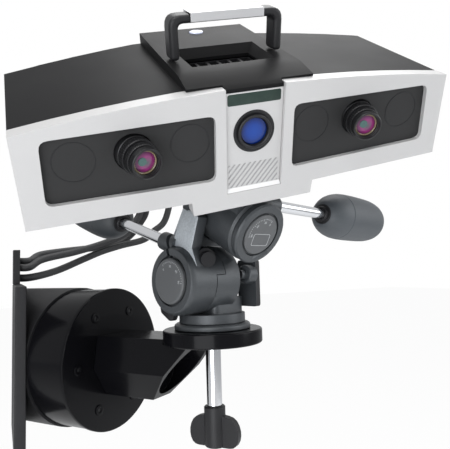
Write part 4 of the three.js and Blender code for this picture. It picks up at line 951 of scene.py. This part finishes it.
def dialNumbers(name, body, look, matrix):
    for i, (words, angle) in enumerate(look["numbers"]):
        curve = bpy.data.curves.new(f"{name}{i}", "FONT")
        curve.body = words
        curve.size = scale["number"]["size"]
        curve.extrude = scale["number"]["proud"]
        curve.align_x = "CENTER"
        curve.align_y = "CENTER"
        number = placed(f"{name}{i}", curve)
        evaluated = number.evaluated_get(bpy.context.evaluated_depsgraph_get())
        mesh = bpy.data.meshes.new_from_object(evaluated)
        bpy.data.objects.remove(number)
        mesh.name = f"{name}{i}"
        around = math.radians(angle)
        spot = move(look["numberAt"] * math.sin(around), look["numberAt"] * math.cos(around), 0)
        piece = pieceFromMesh(f"{name}{i}", mesh, matrix @ spot @ turn(-angle, "Z"))
        finishPiece(piece, body, "marks")


# The empty rounded frame on the side dial: a strip along its outline
def blankFrameForm(face):
    look, tick = scale["blankFrame"], scale["tick"]
    (wide, high), (across, up), strip = look["half"], look["at"], look["strip"]
    near, far = face - tick["proud"], face + tick["deep"]
    vertices = []
    for x, z in roundedOutline(wide, high, look["corner"], look["cornerSteps"]):
        outer = (across + x, up + z)
        inner = (across + x * (1 - strip / wide), up + z * (1 - strip / high))
        for (a, b), level in ((outer, near), (outer, far), (inner, far), (inner, near)):
            vertices.append((a, level, b))
    return vertices, loopFaces(len(vertices) // 4, 4)


def dressDials():
    look = scale["front"]
    at = panFrame @ move(0, look["shift"], place["tiltAxisUp"])
    manyForms("frontDialTicks", "pan_head", "marks", scaleTicks(look, "x", 1), at)
    numbersAt = at @ move(look["face"], 0, 0) @ turn(-90, "Z") @ turn(90, "X")
    dialNumbers("frontDialNumber", "pan_head", look, numbersAt)
    look = scale["side"]
    at = frontFrame @ move(0, 0, place["sideAxisUp"])
    manyForms("sideDialTicks", "tilt_frame", "marks", scaleTicks(look, "y", -1), at)
    dialNumbers("sideDialNumber", "tilt_frame", look, at @ move(0, look["face"], 0) @ turn(90, "X"))
    manyForms("sideDialBlankFrame", "tilt_frame", "marks", [blankFrameForm(look["face"])], at)
    print("stage: dials marked")


# Handles: chrome rod, dark collar and a smooth tapered grip with a moulded end
handleLook = {
    # The front grip takes the darker grip finish as painted shade
    "front": {"at": (-38, 37, 21.5), "dip": -12, "finish": "gripShaded"},
    "side": {"at": (31, -21.3, 9.7), "dip": 27.7, "finish": "grip"},
}
gripLook = {
    "start": 76.5, "length": 103, "belly": 24.3, "rod": 5.2, "rodEnd": 84, "rodEdge": 0.3, "rodSides": 48,
    "collar": 7.8, "collarLong": 3.5, "collarEdge": 0.6, "collarGap": 0.4, "darkReach": 0.2,
    "skinShares": (
        (0.0, 0.42), (0.012, 0.54), (0.033, 0.63), (0.058, 0.715), (0.087, 0.79), (0.12, 0.86),
        (0.163, 0.92), (0.21, 0.96), (0.228, 0.972), (0.235, 0.952), (0.242, 0.976), (0.3, 0.992), (0.42, 1),
        (0.59, 0.99), (0.68, 0.978), (0.75, 0.96), (0.81, 0.925), (0.86, 0.88), (0.90, 0.82), (0.935, 0.735),
        (0.96, 0.64), (0.98, 0.5), (0.993, 0.34), (1.0, 0.16),
    ),
}


def gripProfile():
    start, collar, edge = gripLook["start"], gripLook["collar"], gripLook["collarEdge"]
    foot = start - gripLook["collarLong"]
    spots = [(gripLook["rod"] + gripLook["rodEdge"], foot), (collar - edge, foot), (collar, foot + edge)]
    spots.append((collar, start - gripLook["collarGap"]))
    for share, size in gripLook["skinShares"]:
        spots.append((gripLook["belly"] * size, start + gripLook["length"] * share))
    spots.append((0, start + gripLook["length"]))
    return spots


def dressHandles():
    frontLook, sideLook = handleLook["front"], handleLook["side"]
    spots = {
        "front": frontFrame @ move(*frontLook["at"]) @ turn(frontLook["dip"], "X"),
        "side": sideFrame @ move(*sideLook["at"]) @ turn(sideLook["dip"], "Y") @ turn(-90, "Z"),
    }
    far, reach = 2 * gripLook["belly"], gripLook["start"] + gripLook["darkReach"]
    thick, end, edge = gripLook["rod"], gripLook["rodEnd"], gripLook["rodEdge"]
    rodProfile = [(0, edge), (thick - edge, edge), (thick, 2 * edge), (thick, end - edge), (0, end)]
    for key, at in spots.items():
        body = key + "_handle"
        grip = turned(key + "Grip", body, handleLook[key]["finish"], gripProfile(), at)
        secondFinish(grip, "blackPlastic", at, (-far, 0, -far), (far, reach, far))
        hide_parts(body + "_grip")
        rod = turned(key + "Rod", body, "chrome", rodProfile, at, gripLook["rodSides"])
        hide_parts(body + "_rod")
    print("stage: handles dressed")


# Stand: castings, the bolted plate on the drum, the arm, the base and the screw through it
stand = {
    "castEdge": 1.2, "thinEdge": 0.5, "armEdge": 1.0, "clampEdge": 0.8, "knobEdge": 2.2,
    "plate": {
        "radius": 72.9, "face": 120.1, "back": 124.1, "sides": 160,
        "rimSteps": ((1.4, 0), (1.0, 0.05), (0.3, 0.3), (0, 1.0)),  # in from the rim, back from the face
    },
    "bolt": {
        "circle": 52.9, "first": 3, "count": 6, "radius": 5.2, "proud": 1.2, "sunk": 0.2, "edge": 0.35,
        "sides": 32, "socket": 2.0, "overlap": 0.1, "socketProud": 0.3,
    },
    "screw": {
        "radius": 7.1, "foot": -71.0, "shoulder": -13.7, "tip": 4.6, "top": 7.0, "footEdge": 0.6,
        "shoulderEdge": 0.3, "topEdge": 0.4, "sides": 64,
    },
}


def dressDrumPlate():
    look, bolt = stand["plate"], stand["bolt"]
    radius, face, back = look["radius"], look["face"], look["back"]
    skin = [(0, face), (radius / 2, face)]
    skin += [(radius - inward, face + deep) for inward, deep in look["rimSteps"]]
    skin += [(radius, back), (0, back)]
    plate = turned("drumPlateSkin", "stand", "glossBlack", skin, drumFrame, look["sides"])
    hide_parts("drum_front_plate")
    heads, sockets = [], []
    for i in range(bolt["count"]):
        angle = math.radians(bolt["first"] + 360 * i / bolt["count"])
        spot = (bolt["circle"] * math.cos(angle), bolt["circle"] * math.sin(angle))
        near, far = face - bolt["proud"], face + bolt["sunk"]
        heads.append(ringForm(spot, bolt["socket"], bolt["radius"], near, far, bolt["sides"]))
        sockets.append(discForm(spot, bolt["socket"] + bolt["overlap"], face - bolt["socketProud"], far, 6))
    manyForms("drumPlateBolts", "stand", "glossBlack", heads, drumFrame, bolt["edge"])
    manyForms("drumPlateSockets", "stand", "blackPlastic", sockets, drumFrame)


def screwProfile():
    rod = stand["screw"]
    radius, foot, shoulder, tip, top = (rod[key] for key in ("radius", "foot", "shoulder", "tip", "top"))
    footEdge, shoulderEdge = rod["footEdge"], rod["shoulderEdge"]
    return [
        (0, foot), (radius - footEdge, foot), (radius, foot + footEdge), (radius, shoulder - shoulderEdge),
        (radius - shoulderEdge, shoulder), (tip, shoulder), (tip, top - rod["topEdge"]),
        (tip - footEdge, top), (0, top),
    ]


def dressStand():
    softened("column_pad", "stand", "casting", stand["castEdge"])
    softened("rear_casting", "stand", "casting", stand["castEdge"])
    softened("drum_band", "stand", "glossBlack", stand["thinEdge"])
    dressDrumPlate()
    softened("support_arm", "stand", "glossBlack", stand["armEdge"], 3)
    softened("base_plate", "stand", "glossBlack", stand["thinEdge"])
    softened("cable_clamp", "stand", "blackPlastic", stand["clampEdge"])
    softened("wing_knob", "wing_knob", "blackPlastic", stand["knobEdge"], 4)
    screwAt = standFrame @ turn(90, "X")
    screw = turned("fixingScrewRod", "stand", "chrome", screwProfile(), screwAt, stand["screw"]["sides"])
    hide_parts("fixing_screw")
    print("stage: stand dressed")


# Cables: the same routes as the CAD, from the glands to the clamp
cable = {
    "radius": 4.5, "glandTip": 175.2, "glandUp": -6, "glandEdge": 0.6, "straight": 14, "sides": 16,
    "perSpan": 10, "smoothAngle": 60,
}
cableRoutes = {
    "cable_data_a": {
        "gland": -8, "end": (-166.42, 203.13, 63.4),
        "by": (
            (-19, 62, 279), (-18, 112, 286), (-17, 160, 269), (-17, 197, 228), (-18, 217, 178),
            (-9.4, 225, 135.7), (-16.1, 227, 122), (-26.4, 231, 108.5), (-36.3, 236, 102),
            (-58.9, 238, 92.7), (-94.9, 232, 82.2), (-137.7, 216, 72.2),
        ),
    },
    "cable_data_b": {
        "gland": 14, "end": (-166.42, 213.63, 70.9),
        "by": (
            (2, 62, 283), (2, 112, 292), (0, 160, 277), (-2, 201, 235), (-4, 226, 184), (3.9, 243, 138),
            (-2.5, 247, 124.1), (-15.3, 254, 106.1), (-28.8, 258, 96.4), (-49.6, 259, 90.3),
            (-79.6, 258, 87.1), (-108.8, 254, 83.9), (-137.1, 243, 79.3),
        ),
    },
    "cable_power": {
        "gland": 36, "end": (-166.42, 209.63, 50.9),
        "by": (
            (25, 62, 285), (30, 112, 294), (36, 165, 280), (40, 205, 232), (39, 225, 178), (27.1, 233, 123),
            (13.4, 237, 110.5), (1.1, 240, 99.4), (-32.2, 243, 90.6), (-58.3, 242, 82.8), (-82.2, 241, 73),
            (-118.3, 234, 58.2),
        ),
    },
}


# A smooth line through points, with no loops where they lie close
def centripetal(points, perSpan):
    padded = [2 * points[0] - points[1], *points, 2 * points[-1] - points[-2]]
    line = []
    for i in range(1, len(padded) - 2):
        p0, p1, p2, p3 = padded[i - 1:i + 3]
        t1 = math.sqrt((p1 - p0).length)
        t2 = t1 + math.sqrt((p2 - p1).length)
        t3 = t2 + math.sqrt((p3 - p2).length)
        for k in range(perSpan):
            t = t1 + (t2 - t1) * k / perSpan
            a1 = p0 * ((t1 - t) / t1) + p1 * (t / t1)
            a2 = p1 * ((t2 - t) / (t2 - t1)) + p2 * ((t - t1) / (t2 - t1))
            a3 = p2 * ((t3 - t) / (t3 - t2)) + p3 * ((t - t2) / (t3 - t2))
            b1 = a1 * ((t2 - t) / t2) + a2 * (t / t2)
            b2 = a2 * ((t3 - t) / (t3 - t1)) + a3 * ((t - t1) / (t3 - t1))
            line.append(b1 * ((t2 - t) / (t2 - t1)) + b2 * ((t - t1) / (t2 - t1)))
    line.append(points[-1])
    return line


def tubeMesh(name, line, radius, sides):
    vertices = []
    side = None
    for i, spot in enumerate(line):
        ahead = (line[min(i + 1, len(line) - 1)] - line[max(i - 1, 0)]).normalized()
        if side is None:
            side = ahead.orthogonal().normalized()
        side = (side - ahead * side.dot(ahead)).normalized()
        up = ahead.cross(side)
        vertices += [spot + side * a + up * b for a, b in circle(radius, sides)]
    faces = loopFaces(len(line), sides)[:-sides]
    faces.append(tuple(range(sides - 1, -1, -1)))
    faces.append(tuple(range(len(vertices) - sides, len(vertices))))
    return meshFrom(name, vertices, faces)


def inMetres(spot):
    return tuple(v * mm for v in spot)


def dressCables():
    length = {}
    reach, up, straight = cable["glandTip"], cable["glandUp"], cable["straight"]
    for node, route in cableRoutes.items():
        start, after = (scannerFrame @ Vector((route["gland"], y, up)) for y in (reach, reach + straight))
        end = standFrame @ Vector(route["end"])
        before = end + Vector((straight, 0, 0))
        spots = [start, after, *[standFrame @ Vector(p) for p in route["by"]], before, end]
        line = centripetal(spots, cable["perSpan"])
        total = sum((b - a).length for a, b in zip(line, line[1:]))
        mesh = tubeMesh(node + "Tube", line, cable["radius"], cable["sides"])
        piece = pieceFromMesh(node + "Tube", mesh, Matrix.Identity(4))
        finishPiece(piece, "stand", "jacket", cable["smoothAngle"])
        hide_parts(node)
        length[node] = round(total, 1)
    for i in (1, 2, 3):
        softened(f"cable_gland_{i}", "scanner", "blackPlastic", cable["glandEdge"])
    print("stage: cables made,", length)


dressHousing()
dressFront()
dressProjector()
dressDisplay()
for lensSide in (-1, 1):
    dressLens(lensSide)
dressButton()
dressBackAndUnder()
dressHead()
dressDials()
dressHandles()
dressStand()
dressCables()


# Camera, light, floor: clip, lamps and floor in metres
view = {
    "spot": (-12.3, -592.5, 91.5), "azimuth": -24.46, "up": 5.0, "roll": -1.69, "focalPixels": 492.3,
    "imageWide": 450, "sensor": 36, "clip": (0.01, 50),
}
light = {
    "key": {"at": (-0.7, -1.3, 1.5), "size": 1.2, "power": 22, "colour": (1.0, 0.99, 0.97)},
    "fill": {"at": (1.4, -1.0, 0.5), "size": 1.4, "power": 10, "colour": (0.96, 0.98, 1.0)},
    "top": {"at": (0.62, 0.2, 1.85), "size": 1.6, "power": 18, "colour": (1.0, 1.0, 1.0)},
    "low": {"at": (-0.5, -0.9, -0.1), "size": 0.8, "power": 5.5, "colour": (0.95, 0.97, 1.0)},
}
lightMiddle = Vector((0.16, -0.2, 0.13))
surround = {"colour": (0.75, 0.77, 0.80), "strength": 0.45, "whiteInGloss": 0.45}
floorLook = {"height": -0.45, "half": 8.0, "cameraWhite": 0.95, "colour": (0.9, 0.9, 0.9), "flatRough": 0.8}


def aim(thing, ahead):
    thing.rotation_mode = "QUATERNION"
    thing.rotation_quaternion = ahead.to_track_quat("-Z", "Y")


def setCamera():
    data = bpy.data.cameras.new("camera")
    camera = placed("camera", data)
    azimuth, up = math.radians(-view["azimuth"]), math.radians(view["up"])
    aim(camera, Vector((math.sin(azimuth) * math.cos(up), math.cos(azimuth) * math.cos(up), math.sin(up))))
    camera.rotation_quaternion = camera.rotation_quaternion @ turn(view["roll"], "Z").to_quaternion()
    camera.location = inMetres(view["spot"])
    data.sensor_width = view["sensor"]
    data.lens = view["sensor"] * view["focalPixels"] / view["imageWide"]
    data.clip_start, data.clip_end = view["clip"]
    bpy.context.scene.camera = camera


# One of two shaders, by a share that another node gives
def mixedBy(tree, share, first, second, output):
    mix = tree.nodes.new("ShaderNodeMixShader")
    for i, node in enumerate((share, first, second)):
        tree.links.new(node.outputs[0], mix.inputs[i])
    tree.links.new(mix.outputs[0], tree.nodes[output].inputs["Surface"])


def setLight():
    for name, look in light.items():
        data = bpy.data.lights.new(name, "AREA")
        data.shape = "DISK"
        data.size = look["size"]
        data.energy = look["power"]
        data.color = look["colour"]
        lamp = placed(name, data)
        lamp.location = look["at"]
        aim(lamp, lightMiddle - Vector(look["at"]))
    world = bpy.data.worlds.new("studio")
    bpy.context.scene.world = world
    world.use_nodes = True
    tree = world.node_tree
    background = tree.nodes["Background"]
    background.inputs["Color"].default_value = (*surround["colour"], 1)
    background.inputs["Strength"].default_value = surround["strength"]
    white = tree.nodes.new("ShaderNodeBackground")
    white.inputs["Color"].default_value = (1, 1, 1, 1)
    path = tree.nodes.new("ShaderNodeLightPath")
    share = mathAt(tree, "MULTIPLY_ADD", path.outputs["Is Glossy Ray"], surround["whiteInGloss"])
    share.use_clamp = True
    tree.links.new(path.outputs["Is Camera Ray"], share.inputs[2])
    mixedBy(tree, share, background, white, "World Output")


def setFloor():
    half, height = floorLook["half"], floorLook["height"]
    corners = [(-half, -half, height), (half, -half, height), (half, half, height), (-half, half, height)]
    mesh = bpy.data.meshes.new("floor")
    mesh.from_pydata(corners, [], [(0, 1, 2, 3)])
    floor = placed("floor", mesh)
    material, tree, shader = startMaterial("paleFloor", floorLook)
    shader.inputs["Base Color"].default_value = (*floorLook["colour"], 1)
    glow = tree.nodes.new("ShaderNodeEmission")
    glow.inputs["Color"].default_value = (1, 1, 1, 1)
    path = tree.nodes.new("ShaderNodeLightPath")
    share = mathAt(tree, "MULTIPLY", path.outputs["Is Camera Ray"], floorLook["cameraWhite"])
    mixedBy(tree, share, shader, glow, "Material Output")
    floor.data.materials.append(material)


setCamera()
setLight()
setFloor()
bpy.context.scene.view_settings.view_transform = "Standard"
print("stage: camera, light and floor set")
